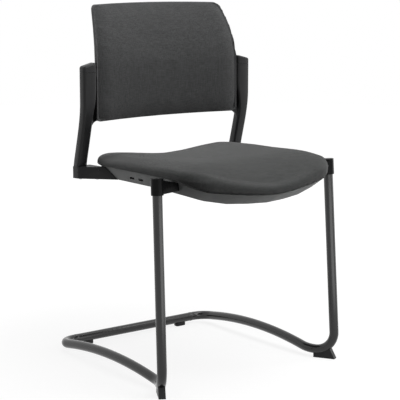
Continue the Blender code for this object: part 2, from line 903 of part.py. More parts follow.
def upright_y(height):
    """The Y of an upright's axis: plumb above, leaning back to the arm below."""
    span = upright_lean_top_height - upright_lean_bottom_height
    return upright_axis_y + upright_lean_shift * smooth_step((upright_lean_top_height - height) / span)


def upright_width(height):
    """The width of a post: narrow from the arm up to the back panel, then wider beside it."""
    share = smooth_step((height - panel_bottom_height) / upright_widening_rise)
    return upright_foot_width + (upright_top_width - upright_foot_width) * share


def upright_foot_x():
    """The X of the middle of a post's foot, where its tenon and its screw are."""
    return upright_outer_half_width - upright_foot_width / 2


def arm_outline(front_y, height, side):
    """The plan of an arm at a height, from the pan's side out to the upright."""
    inner = pan_wall_x(height) + web_pan_clearance
    corners = (
        (inner, front_y), (arm_outer_half_width, arm_elbow_y), (arm_outer_half_width, arm_rear_y),
        (arm_inner_rear_half_width, arm_rear_y), (inner, rim_rear_y - rim_rear_radius),
    )
    radii = (0, arm_elbow_radius, arm_rear_radius, arm_rear_radius, 0)
    return [(side * x, y) for x, y in rounded_polygon(corners, radii)]


def arm_bottom_z(y):
    return pan_floor_height - (y - arm_front_foot_y) * arm_drop_share


def arm_top_z(y):
    return arm_bottom_z(y) + arm_height


def tenon_y():
    """The Y of the tenon that stands on the arm inside the upright."""
    return upright_y(arm_top_z(arm_rear_y) + arm_tenon_height / 2)


def build_arms():
    """The arms that carry the uprights, each with a tenon, a bar pocket and two screw holes."""
    for word, side in sides():
        low = arm_outline(arm_front_foot_y, arm_bottom_z(arm_front_foot_y), side)
        high = arm_outline(arm_front_top_y, arm_top_z(arm_front_foot_y), side)
        rings = [
            [Vector((x, y, arm_bottom_z(y))) for x, y in low],
            [Vector((x, y, arm_top_z(y))) for x, y in high],
        ]
        arm = add_object("arm_" + word, loft_data("arm", rings), arm_plastic, chair_pieces, chair)
        top = arm_top_z(tenon_y())
        size = (arm_tenon_width, arm_tenon_depth, arm_tenon_height + arm_height / 2)
        tenon = add_object("arm_tenon_" + word, box_data("arm_tenon", size), None, cutters, chair)
        centre = top + arm_tenon_height - size[2] / 2
        cut(arm, place(tenon, (side * upright_foot_x(), tenon_y(), centre)), "UNION")
        outer_x = bar_half_length(rear_bar_seat_y) + bar_slot_clearance
        cut(arm, bar_opening("arm_opening_" + word, side, arm_inner_rear_half_width, outer_x, rear_bar_seat_y))
        foot = arm_bottom_z(rear_bar_seat_y) - cut_overrun
        reach = bar_under_z(arm_screw_x, rear_bar_seat_y) + cut_overrun - foot
        cut(arm, screw_hole("arm_bar_hole_" + word, (side * arm_screw_x, rear_bar_seat_y, foot), reach))
        foot = arm_bottom_z(tenon_y()) - cut_overrun
        reach = top + arm_tenon_height + cut_overrun - foot
        cut(arm, screw_hole("arm_upright_hole_" + word, (side * upright_foot_x(), tenon_y(), foot), reach))


def upright_section(side, height, inset=0):
    """The rounded section of an upright at a height, flush with its outer face."""
    half_width = upright_width(height) / 2
    outline = section_rectangle(half_width - inset, upright_depth / 2 - inset, upright_corner_radius - inset)
    return [(side * (upright_outer_half_width - half_width) + x, y) for x, y in outline]


def section_rectangle(half_width, half_depth, radius):
    """A small rounded rectangle about its centre."""
    corners = ((half_width, half_depth), (-half_width, half_depth), (-half_width, -half_depth), (half_width, -half_depth))
    return rounded_polygon(corners, (radius,) * 4, section_steps)


def build_uprights():
    """Leaning posts, each with a wing that reaches in behind the back panel."""
    foot = arm_top_z(arm_rear_y - upright_depth / 2)
    for word, side in sides():
        section = upright_section(side, foot)
        rings = [[Vector((x, upright_y(foot) + y, arm_top_z(upright_y(foot) + y) + fit_gap)) for x, y in section]]
        for i in range(1, upright_steps + 1):
            height = foot + (upright_top_z() - foot) * i / upright_steps
            section = upright_section(side, height)
            rings.append([Vector((x, upright_y(height) + y, height)) for x, y in section])
        upright = add_object("upright_" + word, loft_data("upright", rings), upright_plastic, chair_pieces, chair)
        cut(upright, upright_wing("upright_wing_" + word, side), "UNION")
        top = arm_top_z(tenon_y()) + arm_tenon_height
        depth = arm_tenon_height + fit_gap + cut_overrun
        size = (arm_tenon_width + 2 * bore_clearance, arm_tenon_depth + 2 * bore_clearance, depth + cut_overrun)
        pocket = add_object("upright_pocket_" + word, box_data("upright_pocket", size), None, cutters, chair)
        cut(upright, place(pocket, (side * upright_foot_x(), tenon_y(), top + fit_gap - size[2] / 2)))
        hole_foot = (side * upright_foot_x(), tenon_y(), top - cut_overrun)
        cut(upright, screw_hole("upright_hole_" + word, hole_foot, upright_screw_bite + 2 * cut_overrun))
        cut_back_screw_holes(upright, "wing", word, side)


def wing_slope():
    """How much a wing leans forward for each step outward, as the rear of the panel does there."""
    rise = panel_y(panel_half_width, panel_bottom_height) - panel_y(wing_inner_half_width, panel_bottom_height)
    return rise / (panel_half_width - wing_inner_half_width)


def wing_front_y(x):
    """The front face of a wing, which follows the rear of the back panel."""
    inner_y = panel_y(wing_inner_half_width, panel_bottom_height) + shell_rear_offset + wing_gap
    return inner_y + (abs(x) - wing_inner_half_width) * wing_slope()


def upright_wing(name, side):
    """A wing plate with a hollow fillet down to the post."""
    post_x = upright_outer_half_width - upright_foot_width
    root_x = post_x + upright_corner_radius
    low = panel_bottom_height + wing_bottom_rise
    high = panel_bottom_height + wing_top_rise
    outline = [(root_x, high), (wing_inner_half_width, high), (wing_inner_half_width, low)]
    for i in range(fillet_steps + 1):
        angle = math.pi / 2 * (1 - i / fillet_steps)
        x = post_x - wing_fillet_radius * (1 - math.cos(angle))
        outline.append((x, low - wing_fillet_radius * (1 - math.sin(angle))))
    outline.append((root_x, low - wing_fillet_radius))
    rings = [
        [Vector((side * x, wing_front_y(x) + thickness, z)) for x, z in outline] for thickness in (0, wing_thickness)
    ]
    return add_object(name, loft_data(name, rings), None, cutters, chair)


def build_upright_caps():
    """Caps with a slanted top, highest beside the back panel."""
    for word, side in sides():
        foot = upright_top_z() + fit_gap
        slope = (cap_inner_rise - cap_outer_rise) / upright_top_width
        y = upright_y(foot)

        def top(x):
            return upright_top_z() + cap_outer_rise + (upright_outer_half_width - abs(x)) * slope

        rings = [[Vector((x, y + dy, foot)) for x, dy in upright_section(side, foot)]]
        for angle in cap_edge_angles:
            inset = cap_edge_radius * (1 - math.cos(math.radians(angle)))
            drop = cap_edge_radius * (1 - math.sin(math.radians(angle)))
            rings.append([Vector((x, y + dy, top(x) - drop)) for x, dy in upright_section(side, foot, inset)])
        add_object("upright_cap_" + word, loft_data("upright_cap", rings), upright_plastic, chair_pieces, chair)


# Back panel
def panel_y(x, z):
    """The middle surface of the back panel: wrapped round the sitter and curled back at the top."""
    wrap = panel_wrap_depth * (1 - (x / panel_half_width) ** 2)
    rise = max(0, z - panel_curl_start_height)
    return panel_side_y + wrap + rise ** 2 / (2 * panel_curl_radius)


def panel_outline(inset=0):
    """The front view of the panel: its sides close in toward the top, and its top edge is bowed."""
    outline = rounded_rectangle(
        panel_half_width - inset, panel_bottom_height + inset, panel_top_height - inset,
        panel_bottom_radius - inset, panel_top_radius - inset,
    )
    taper = (panel_half_width - panel_top_half_width) / panel_half_width
    span = panel_top_height - panel_taper_start_height
    shaped = []
    for x, z in outline:
        rise = max(0, z - panel_taper_start_height) / span
        drop = panel_top_bow * (x / panel_half_width * rise) ** 2
        shaped.append((x * (1 - taper * rise ** panel_taper_power), z - drop))
    return shaped


def panel_ring(outline, offset, crown=0):
    """An outline on the panel's surface, moved back by an offset and forward by a crown."""
    middle_z = (panel_bottom_height + panel_top_height) / 2
    half_height = (panel_top_height - panel_bottom_height) / 2
    ring = []
    for x, z in outline:
        bulge = max(0, (1 - (x / panel_half_width) ** 2) * (1 - ((z - middle_z) / half_height) ** 2))
        ring.append(Vector((x, panel_y(x, z) + offset - crown * bulge, z)))
    return ring


def panel_rings(outline, offset, shares, crown=0):
    centre = (0, (panel_bottom_height + panel_top_height) / 2)
    return [panel_ring(scaled_outline(outline, centre, share), offset, crown) for share in shares]


def panel_pole(offset, crown=0):
    return panel_ring([(0, (panel_bottom_height + panel_top_height) / 2)], offset, crown)


def build_back_shell():
    """The moulded rear shell, whose rim shows as a thin line round the cushion."""
    rings = [panel_pole(shell_rear_offset)]
    rings += panel_rings(panel_outline(shell_wall), shell_rear_offset, inner_shares + (1,))
    rings.append(panel_ring(panel_outline(), shell_rear_offset - shell_wall))
    rings.append(panel_ring(panel_outline(), shell_rim_offset))
    rings.append(panel_ring(panel_outline(shell_wall), shell_rim_offset))
    rings.append(panel_ring(panel_outline(shell_wall), shell_rear_offset - shell_wall))
    rings += panel_rings(back_board_outline(), shell_rear_offset - shell_wall, (1,) + inner_shares[::-1])
    rings.append(panel_pole(shell_rear_offset - shell_wall))
    shell = add_object("back_shell", loft_data("back_shell", rings), shell_plastic, chair_pieces, chair)
    for word, side in sides():
        cut_back_screw_holes(shell, "shell", word, side)


def back_board_outline():
    return panel_outline(shell_wall + back_board_edge_gap)


def build_back_board():
    """The board inside the back, which the screws bite into."""
    outline = back_board_outline()
    rear = shell_rear_offset - shell_wall - fit_gap
    front = rear - back_board_thickness
    rings = [panel_pole(rear)] + panel_rings(outline, rear, inner_shares + (1,))
    rings += panel_rings(outline, front, (1,) + inner_shares[::-1]) + [panel_pole(front)]
    board = add_object("back_board", loft_data("back_board", rings), board_wood, chair_pieces, chair)
    for word, side in sides():
        cut_back_screw_holes(board, "back_board", word, side)


def build_back_cushion():
    """The upholstered front of the back, crowned and rounded at its edge."""
    widest = panel_outline()
    shoulder = panel_outline(back_cushion_edge_radius)
    rear = shell_rim_offset - fit_gap
    front = back_cushion_edge_offset
    rings = [panel_pole(front, back_cushion_crown)]
    rings += panel_rings(shoulder, front, top_shares, back_cushion_crown)
    for angle in edge_angles:
        inner_share = 1 - math.cos(math.radians(angle)) if angle > 0 else 0
        share = (1 - math.sin(math.radians(angle))) / 2
        crown = back_cushion_crown * (1 - share)
        ring = panel_ring(blended_outline(widest, shoulder, inner_share), front + (rear - front) * share, crown)
        rings.append(ring)
    board_front = shell_rear_offset - shell_wall - back_board_thickness - 2 * fit_gap
    rings.append(panel_ring(back_board_outline(), rear))
    rings += panel_rings(back_board_outline(), board_front, (1,) + inner_shares[::-1])
    rings.append(panel_pole(board_front))
    add_object("back_cushion", loft_data("back_cushion", rings), fabric, chair_pieces, chair)


# Screws
def back_screw_levels():
    """The name and the height of each level of back screws."""
    return (
        ("lower", panel_bottom_height + back_screw_lower_rise), ("upper", panel_bottom_height + back_screw_upper_rise),
    )


def back_screw_foot(side, height):
    """Where a back screw's head bears on the rear of its wing."""
    return Vector((side * back_screw_x, wing_front_y(back_screw_x) + wing_thickness, height))


def back_screw_way(side):
    """Square to the wing, forward and inward."""
    return Vector((side * wing_slope(), -1, 0)).normalized()


def back_screw_length():
    """From the wing's rear face into the back board."""
    pierced = wing_thickness + wing_gap + shell_wall + fit_gap
    return pierced / math.hypot(1, wing_slope()) + back_screw_bite


def cut_back_screw_holes(piece, word, side_word, side):
    """Clearance holes for the two back screws of one side."""
    way = back_screw_way(side)
    for level, height in back_screw_levels():
        start = back_screw_foot(side, height) - way * cut_overrun
        length = back_screw_length() + cut_overrun + screw_clearance
        cut(piece, place(screw_hole(f"{word}_hole_{side_word}_{level}", start, length), start, way))


def screw(name, point, direction, length):
    """A pan head screw, whose head bears at a point and whose shank runs along a direction."""
    profile = (
        (0, -screw_head_height), (screw_head_radius * head_chamfer_share, -screw_head_height),
        (screw_head_radius, -screw_head_height * head_chamfer_share), (screw_head_radius, 0),
        (screw_shank_radius, 0), (screw_shank_radius, length), (0, length),
    )
    return place(turned_piece(name, profile, screw_sides, zinc), point, direction)


def build_screws():
    up = Vector((0, 0, 1))
    for word, side in sides():
        for bar_word, bar_y in cross_bars():
            x = side * seat_screw_half_spacing
            seat = boss_foot_z(x, bar_y) - fit_gap
            length = board_under_z(x, bar_y) + seat_screw_bite - seat
            screw(f"seat_screw_{bar_word.split('_')[0]}_{word}", (x, bar_y, seat), up, length)
        x = side * socket_screw_x
        seat = socket_web_foot_z(socket_screw_x) - head_seat_gap
        length = bar_under_z(x, front_bar_y) + bar_thickness - seat
        screw("socket_screw_" + word, (x, front_bar_y, seat), up, length)
        x = side * arm_screw_x
        seat = arm_bottom_z(rear_bar_seat_y) - head_seat_gap
        length = bar_under_z(x, rear_bar_seat_y) + bar_thickness - seat
        screw("arm_screw_" + word, (x, rear_bar_seat_y, seat), up, length)
        x = side * upright_foot_x()
        seat = arm_bottom_z(tenon_y()) - head_seat_gap
        length = arm_top_z(tenon_y()) + arm_tenon_height + upright_screw_bite - seat
        screw("upright_screw_" + word, (x, tenon_y(), seat), up, length)
        for level, height in back_screw_levels():
            way = back_screw_way(side)
            seat = back_screw_foot(side, height) - way * fit_gap
            screw(f"back_screw_{level}_{word}", seat, way, back_screw_length())


def socket_web_foot_z(x):
    """The height of a web's slanted underside."""
    outer_x = abs(leg_axis(socket_web_bottom, 1).x)
    inner_x = web_inner_x(socket_web_bottom + socket_web_foot_rise)
    return socket_web_bottom + socket_web_foot_rise * (outer_x - x) / (outer_x - inner_x)


# Scene
for leftover in list(bpy.data.objects):
    bpy.data.objects.remove(leftover)

chair_pieces = bpy.data.collections.new("conference_chair")
cutters = bpy.data.collections.new("conference_chair_cutters")
cutters.hide_render = True
for collection in (chair_pieces, cutters):
    bpy.context.scene.collection.children.link(collection)

chair = bpy.data.objects.new("chair_origin", None)
chair_pieces.objects.link(chair)
front_reach = cushion_front_y - front_bow
rear_reach = rear_bar_y + tube_diameter / 2
chair.location = (0, -(front_reach + rear_reach) / 2, 0)

black_steel = make_material("black_steel", (0.022, 0.022, 0.023), 0.34, 0.0)
plain_steel = make_material("plain_steel", (0.35, 0.35, 0.36), 0.40, 1.0)
glide_plastic = make_material("glide_plastic", (0.030, 0.030, 0.031), 0.55)
socket_plastic = make_material("socket_plastic", (0.018, 0.018, 0.019), 0.38)
arm_plastic = make_material("arm_plastic", (0.024, 0.024, 0.025), 0.50)
upright_plastic = make_material("upright_plastic", (0.030, 0.030, 0.031), 0.48)
pan_plastic = make_material("pan_plastic", (0.095, 0.098, 0.097), 0.55)
shell_plastic = make_material("shell_plastic", (0.040, 0.040, 0.042), 0.50)
board_wood = make_material("board_wood", (0.45, 0.32, 0.19), 0.70)
fabric = make_material("fabric", (0.085, 0.087, 0.088), 0.90)
zinc = make_material("zinc", (0.55, 0.55, 0.56), 0.35, 1.0)

build_frame()
build_front_glides()
build_rear_glides()
build_leg_sockets()
build_socket_plugs()
build_pan()
build_board()
build_cross_bars()
build_seat_cushion()
build_arms()
build_uprights()
build_upright_caps()
build_back_shell()
build_back_board()
build_back_cushion()
build_screws()

for tool in cutters.objects:
    tool.hide_render = True
    tool.display_type = "WIRE"
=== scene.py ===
# %% [markdown]
# # Dressing a conference chair
#
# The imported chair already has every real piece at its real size. This lesson gives it its looks:
# rounder tubes, softened edges, cushions that swell under their cloth, and a material for each
# surface. It ends with a camera, a floor and soft light.
#
# Everything is in metres, with +Z up and -Y the way the sitter faces.

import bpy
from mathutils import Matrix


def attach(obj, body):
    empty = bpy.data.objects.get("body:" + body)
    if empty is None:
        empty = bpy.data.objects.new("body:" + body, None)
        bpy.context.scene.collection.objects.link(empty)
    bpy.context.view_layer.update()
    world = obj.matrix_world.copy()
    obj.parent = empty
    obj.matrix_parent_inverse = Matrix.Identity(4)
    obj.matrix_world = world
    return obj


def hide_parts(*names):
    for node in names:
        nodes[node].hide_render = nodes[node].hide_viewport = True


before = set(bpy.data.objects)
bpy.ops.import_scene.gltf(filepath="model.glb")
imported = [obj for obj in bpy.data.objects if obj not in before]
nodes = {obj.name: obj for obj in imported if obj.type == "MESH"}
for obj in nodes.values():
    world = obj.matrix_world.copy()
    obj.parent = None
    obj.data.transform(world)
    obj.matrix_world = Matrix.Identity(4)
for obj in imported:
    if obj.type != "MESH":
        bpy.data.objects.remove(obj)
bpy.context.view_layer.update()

import math

import bmesh
import bpy
import numpy as np
from mathutils import Matrix, Vector

print("Loaded", len(nodes), "solid pieces")

# %% [markdown]
# ## Materials
#
# A real surface is never one flat colour. Each recipe below starts from a Principled shader, then
# lets noise vary its colour and roughness a little and drives a bump for its texture. The pattern
# is read in object coordinates, so its grain has a real size: a noise scale of 1000 makes spots
# of about a millimetre.

# %% Start a material
def new_material(name):
    """An empty Principled material with its tree and shader at hand."""
    material = bpy.data.materials.new(name)
    material.use_nodes = True
    tree = material.node_tree
    return material, tree, tree.nodes["Principled BSDF"]


def position(tree):
    """The place on the object, in metres."""
    return tree.nodes.new("ShaderNodeTexCoord").outputs["Object"]


def noise(tree, place, scale, detail=2.0, roughness=0.5):
    """A noise value between 0 and 1 whose spots are about 1/scale metres wide."""
    node = tree.nodes.new("ShaderNodeTexNoise")
    node.inputs["Scale"].default_value = scale
    node.inputs["Detail"].default_value = detail
    node.inputs["Roughness"].default_value = roughness
    tree.links.new(place, node.inputs["Vector"])
    return node.outputs["Fac"]


print("A material starts from a Principled shader, and noise is read in metres")

# %% [markdown]
# Noise is worked on before it reaches a socket. It is spread over another range, it mixes two
# colours, or two values are added or multiplied. Last, a height can tilt the surface, which is
# what a fine grain does.

# %% Work on values, colours and heights
def remap(tree, value, low, high, from_low=0.25, from_high=0.75):
    """A value spread over another range. Noise lies mostly between 0.25 and 0.75."""
    node = tree.nodes.new("ShaderNodeMapRange")
    node.inputs["From Min"].default_value = from_low
    node.inputs["From Max"].default_value = from_high
    node.inputs["To Min"].default_value = low
    node.inputs["To Max"].default_value = high
    tree.links.new(value, node.inputs["Value"])
    return node.outputs["Result"]


def blend_colours(tree, share, first, second):
    """A colour between two, by a share. Each is a socket or an RGB tuple."""
    node = tree.nodes.new("ShaderNodeMix")
    node.data_type = "RGBA"
    tree.links.new(share, node.inputs["Factor"])
    for socket, colour in ((node.inputs[6], first), (node.inputs[7], second)):
        if isinstance(colour, tuple):
            socket.default_value = (*colour, 1.0)
        else:
            tree.links.new(colour, socket)
    return node.outputs[2]


def shade(colour, share):
    """A colour made darker or lighter by a share."""
    return tuple(share * c for c in colour)


def arithmetic(tree, operation, first, second):
    """One operation on two values. Each is a socket or a number."""
    node = tree.nodes.new("ShaderNodeMath")
    node.operation = operation
    for socket, value in zip(node.inputs, (first, second)):
        if isinstance(value, (int, float)):
            socket.default_value = value
        else:
            tree.links.new(value, socket)
    return node.outputs["Value"]


def bump(tree, shader, height, distance, strength=1.0, after=None):
    """Tilt the surface by a height, after another bump if one is given."""
    node = tree.nodes.new("ShaderNodeBump")
    node.inputs["Strength"].default_value = strength
    node.inputs["Distance"].default_value = distance
    tree.links.new(height, node.inputs["Height"])
    if after:
        tree.links.new(after, node.inputs["Normal"])
    tree.links.new(node.outputs["Normal"], shader.inputs["Normal"])
    return node.outputs["Normal"]


print("Values, colours and heights can be mixed")

# %% [markdown]
# Moulded plastic has a fine spark-eroded grain and slightly uneven gloss, and its raised edges
# are polished by hands and trouser legs. Geometry's Pointiness would find those edges, but it
# depends on the mesh, so here a soft noise stands for the handling.

# %% Make the plastics
def moulded_plastic(name, colour, roughness, grain_scale, grain_depth, specular, coat):
    """Plastic with a fine grain, and gloss and colour that vary a little."""
    material, tree, shader = new_material(name)
    place = position(tree)
    cloudy = noise(tree, place, 22, 3.0)
    darker = shade(colour, 0.82)
    lighter = shade(colour, 1.18)
    tree.links.new(blend_colours(tree, cloudy, darker, lighter), shader.inputs["Base Color"])
    handled = noise(tree, place, 60, 4.0, 0.6)
    uneven = remap(tree, handled, roughness - 0.06, roughness + 0.08)
    tree.links.new(uneven, shader.inputs["Roughness"])
    grain = noise(tree, place, grain_scale, 3.0, 0.55)
    bump(tree, shader, grain, grain_depth)
    shader.inputs["Specular IOR Level"].default_value = specular
    shader.inputs["Coat Weight"].default_value = coat
    shader.inputs["Coat Roughness"].default_value = 0.3
    return material


# Name, colour, roughness, grain scale and depth, specular level and coat
finishes = (
    ("pan_grey_plastic", (0.240, 0.243, 0.242), 0.54, 1400, 0.00010, 0.16, 0.0),
    ("back_shell_plastic", (0.036, 0.036, 0.038), 0.46, 1300, 0.00010, 0.35, 0.0),
    ("upright_black_plastic", (0.022, 0.022, 0.023), 0.38, 1500, 0.00008, 0.22, 0.0),
    ("arm_black_plastic", (0.019, 0.019, 0.0195), 0.48, 1500, 0.00008, 0.18, 0.0),
    # The sockets' plastic is painted far darker than the other black plastics: painted shade for
    # the deep shadow on each socket's web beside the seat pan.
    ("socket_black_plastic_painted_shade", (0.004, 0.004, 0.0044), 0.28, 1800, 0.00004, 0.08, 0.03),
    ("glide_black_plastic", (0.012, 0.012, 0.013), 0.40, 900, 0.00010, 0.25, 0.0),
)
pan_plastic, shell_plastic, upright_plastic, arm_plastic, socket_plastic, glide_plastic = (
    moulded_plastic(*finish) for finish in finishes
)
print("Plastics:", len(finishes), "moulded finishes")

# %% [markdown]
# The tubes have a black powder coat. Powder melts into a skin with a slight orange peel, which
# the bump makes, and it is semi-gloss, so a lamp draws a soft bright line along each tube.

# %% Make the powder coat
scuff_height = 0.07


def powder_coat(name, colour, roughness):
    """A semi-gloss powder coat with orange peel, scuffed a little near the floor."""
    material, tree, shader = new_material(name)
    place = position(tree)
    cloudy = noise(tree, place, 30, 3.0)
    skin = blend_colours(tree, cloudy, shade(colour, 0.85), shade(colour, 1.15))
    split = tree.nodes.new("ShaderNodeSeparateXYZ")
    tree.links.new(place, split.inputs["Vector"])
    low = remap(tree, split.outputs["Z"], 1.0, 0.0, 0.0, scuff_height)
    scratches = remap(tree, noise(tree, place, 260, 5.0, 0.7), 0.0, 1.0, 0.66, 0.74)
    scuffed = arithmetic(tree, "MULTIPLY", arithmetic(tree, "MULTIPLY", low, scratches), 0.5)
    worn = shade(colour, 2.0)
    tree.links.new(blend_colours(tree, scuffed, skin, worn), shader.inputs["Base Color"])
    uneven = remap(tree, cloudy, roughness - 0.04, roughness + 0.05)
    tree.links.new(uneven, shader.inputs["Roughness"])
    peel = noise(tree, place, 420, 2.0)
    bump(tree, shader, peel, 0.00001)
    shader.inputs["Specular IOR Level"].default_value = 0.45
    shader.inputs["Coat Weight"].default_value = 0.15
    shader.inputs["Coat Roughness"].default_value = 0.16
    return material


black_steel = powder_coat("black_powder_coat", (0.013, 0.013, 0.0135), 0.20)
print("Powder coat: black, semi-gloss")

# %% [markdown]
# The screws are zinc plated and the cross bars are plain steel. Rolling and drawing leave
# streaks, so one noise is stretched along X and drives the gloss.

# %% Make the bare metals
def bare_metal(name, colour, roughness, streak_scale):
    """Metal with drawn streaks along X and cloudy gloss."""
    material, tree, shader = new_material(name)
    place = position(tree)
    stretch = tree.nodes.new("ShaderNodeMapping")
    stretch.inputs["Scale"].default_value = (0.03, 1.0, 1.0)
    tree.links.new(place, stretch.inputs["Vector"])
    streaks = noise(tree, stretch.outputs["Vector"], streak_scale, 3.0)
    spots = noise(tree, place, 300, 3.0)
    tree.links.new(
        blend_colours(tree, spots, shade(colour, 0.8), shade(colour, 1.15)),
        shader.inputs["Base Color"],
    )
    uneven = remap(tree, streaks, roughness - 0.08, roughness + 0.1)
    tree.links.new(uneven, shader.inputs["Roughness"])
    bump(tree, shader, streaks, 0.00004)
    shader.inputs["Metallic"].default_value = 1.0
    return material


plain_steel = bare_metal("plain_steel_bar", (0.34, 0.34, 0.35), 0.42, 900)
zinc = bare_metal("zinc_plate", (0.52, 0.52, 0.54), 0.36, 1200)
print("Bare metals: plain steel and zinc")

# %% [markdown]
# The boards inside the seat and the back are beech plywood. The grain is long on the face, and
# the plies show as thin layers at the edge, so the noise is stretched one way and squeezed the
# other.

# %% Make the plywood
def plywood(name, light, dark):
    """Beech plies: long grain on the face, and layers that show at the edge."""
    material, tree, shader = new_material(name)
    place = position(tree)
    stretch = tree.nodes.new("ShaderNodeMapping")
    stretch.inputs["Scale"].default_value = (1.0, 0.08, 6.0)
    tree.links.new(place, stretch.inputs["Vector"])
    grain = noise(tree, stretch.outputs["Vector"], 180, 4.0, 0.6)
    tree.links.new(blend_colours(tree, grain, dark, light), shader.inputs["Base Color"])
    tree.links.new(remap(tree, grain, 0.58, 0.74), shader.inputs["Roughness"])
    bump(tree, shader, grain, 0.0001)
    return material


board_wood = plywood("beech_plywood", (0.52, 0.38, 0.23), (0.38, 0.26, 0.15))
print("Wood: beech plywood")

# %% [markdown]
# The cloth is a fine plain weave. Two sets of bands cross at right angles, and a checker of over
# and under makes their product. Slubs, which are slightly thick or pale threads, come from noise
# that is stretched along each thread. The sheen is the light that stray fibres catch at a grazing
# angle. A wave of scale 1 repeats after 0.3142 m, so the scale follows from the thread's width.

# %% Make the cloth
thread_width = 0.0011
wave_repeat = 0.3142
slub_stretch = 0.08


def woven_cloth(name, colour, across, along):
    """A plain weave whose threads run along two axes of the object."""
    material, tree, shader = new_material(name)
    place = position(tree)
    threads = []
    for axis in (across, along):
        wave = tree.nodes.new("ShaderNodeTexWave")
        wave.wave_type = "BANDS"
        wave.bands_direction = axis
        wave.wave_profile = "SIN"
        wave.inputs["Scale"].default_value = wave_repeat / thread_width
        wave.inputs["Distortion"].default_value = 0.35
        wave.inputs["Detail"].default_value = 1.0
        wave.inputs["Detail Scale"].default_value = 2.0
        tree.links.new(place, wave.inputs["Vector"])
        threads.append(wave.outputs["Fac"])
    first, second = threads
    flip = arithmetic(tree, "SUBTRACT", 1.0, second)
    over = arithmetic(tree, "MULTIPLY", first, second)
    under = arithmetic(tree, "MULTIPLY", arithmetic(tree, "SUBTRACT", 1.0, first), flip)
    weave = arithmetic(tree, "ADD", over, under)

    slubs = []
    for axis in (across, along):
        stretch = tree.nodes.new("ShaderNodeMapping")
        stretch.inputs["Scale"].default_value = [slub_stretch if a == axis else 1.0 for a in "XYZ"]
        tree.links.new(place, stretch.inputs["Vector"])
        slubs.append(noise(tree, stretch.outputs["Vector"], 650, 2.0))
    slub = arithmetic(tree, "MULTIPLY", arithmetic(tree, "ADD", slubs[0], slubs[1]), 0.5)
    cloudy = noise(tree, place, 14, 3.0)

    dark = shade(colour, 0.72)
    light = shade(colour, 1.25)
    spun = blend_colours(tree, remap(tree, slub, 0.0, 1.0, 0.38, 0.62), dark, light)
    # Where the weave lies low, its colour is drawn toward a far darker tone: painted shade in the
    # weave's hollows.
    painted_hollow_shade = shade(colour, 0.45)
    shaded = blend_colours(tree, remap(tree, weave, 0.28, 0.0, 0.1, 0.8), spun, painted_hollow_shade)
    patchy = blend_colours(tree, remap(tree, cloudy, 0.0, 0.22), shaded, shade(colour, 1.12))
    tree.links.new(patchy, shader.inputs["Base Color"])
    tree.links.new(remap(tree, slub, 0.84, 0.96), shader.inputs["Roughness"])
    fuzz = bump(tree, shader, noise(tree, place, 2600, 2.0), 0.00012)
    bump(tree, shader, weave, 0.00022, 0.8, fuzz)
    shader.inputs["Sheen Weight"].default_value = 0.30
    shader.inputs["Sheen Roughness"].default_value = 0.40
    shader.inputs["Specular IOR Level"].default_value = 0.12
    return material


seat_cloth = woven_cloth("seat_cloth", (0.083, 0.085, 0.084), "X", "Y")
# The back's cloth is the seat's cloth painted a little lighter: painted light that makes up for the
# back's upright face catching less light than the seat.
back_cloth_painted_lighter = woven_cloth("back_cloth_painted_lighter", (0.089, 0.090, 0.091), "X", "Z")
print("Cloth: plain weave for the seat and for the back")

# %% [markdown]
# ## Crisp pieces with softened edges
#
# A moulded or sawn edge is never perfectly sharp, and the small rounding is what catches the
# light. Each solid is copied, its triangles are merged back into whole faces, and a Bevel rounds
# the edges that are left. The copy stands for the solid, which stays hidden underneath for
# physics.

# %% Add a piece, and clean a solid's shape
weld_distance = 0.00002
flat_angle = math.radians(0.6)


def new_piece(name, data, material, slot, *replaced):
    """Link a piece, hide the solids it stands in for, and let it ride on the chair."""
    piece = bpy.data.objects.new(name, data)
    bpy.context.scene.collection.objects.link(piece)
    data.materials.clear()
    data.materials.append(material)
    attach(piece, "root")
    if replaced:
        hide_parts(*replaced)
    return piece


def clean_shape(node, join=weld_distance):
    """A solid's mesh with shared corners joined and flat faces made whole."""
    shape = bmesh.new()
    shape.from_mesh(nodes[node].data)
    bmesh.ops.remove_doubles(shape, verts=shape.verts, dist=join)
    bmesh.ops.dissolve_limit(
        shape, angle_limit=flat_angle, verts=shape.verts, edges=shape.edges, delimit={"NORMAL"},
    )
    return shape


print("Shared corners join within", weld_distance, "m")

# %% [markdown]
# A Bevel rounds every edge sharper than the soft angle. Its normals are hardened, so that the
# flat faces beside it stay flat in the light.

# %% Round the edges of a solid's copy
soft_angle = math.radians(35)


def dress(node, material, slot, edge, segments=2, join=weld_distance):
    """Stand a rounded, finished copy in for a solid."""
    shape = clean_shape(node, join)
    data = bpy.data.meshes.new(node + "_finished")
    shape.to_mesh(data)
    shape.free()
    data.shade_smooth()
    data.set_sharp_from_angle(angle=soft_angle)
    piece = new_piece(node + "_finished", data, material, slot, node)
    rounding = piece.modifiers.new("Rounded edges", "BEVEL")
    rounding.width = edge
    rounding.segments = segments
    rounding.limit_method = "ANGLE"
    rounding.angle_limit = soft_angle
    rounding.harden_normals = True
    rounding.use_clamp_overlap = True


print("Edges sharper than", round(math.degrees(soft_angle)), "degrees are rounded")

# %% [markdown]
# The plastic pieces are injection moulded, with edges of about a millimetre or less, and the flat
# bars under the seat are sheared steel. Both boards stay as they are, because the cushions and
# the shell hide all but their edges, and they only take the plywood. Each arm has a step of less
# than a millimetre beside its tenon, too small to be rounded, so its corners are joined first.

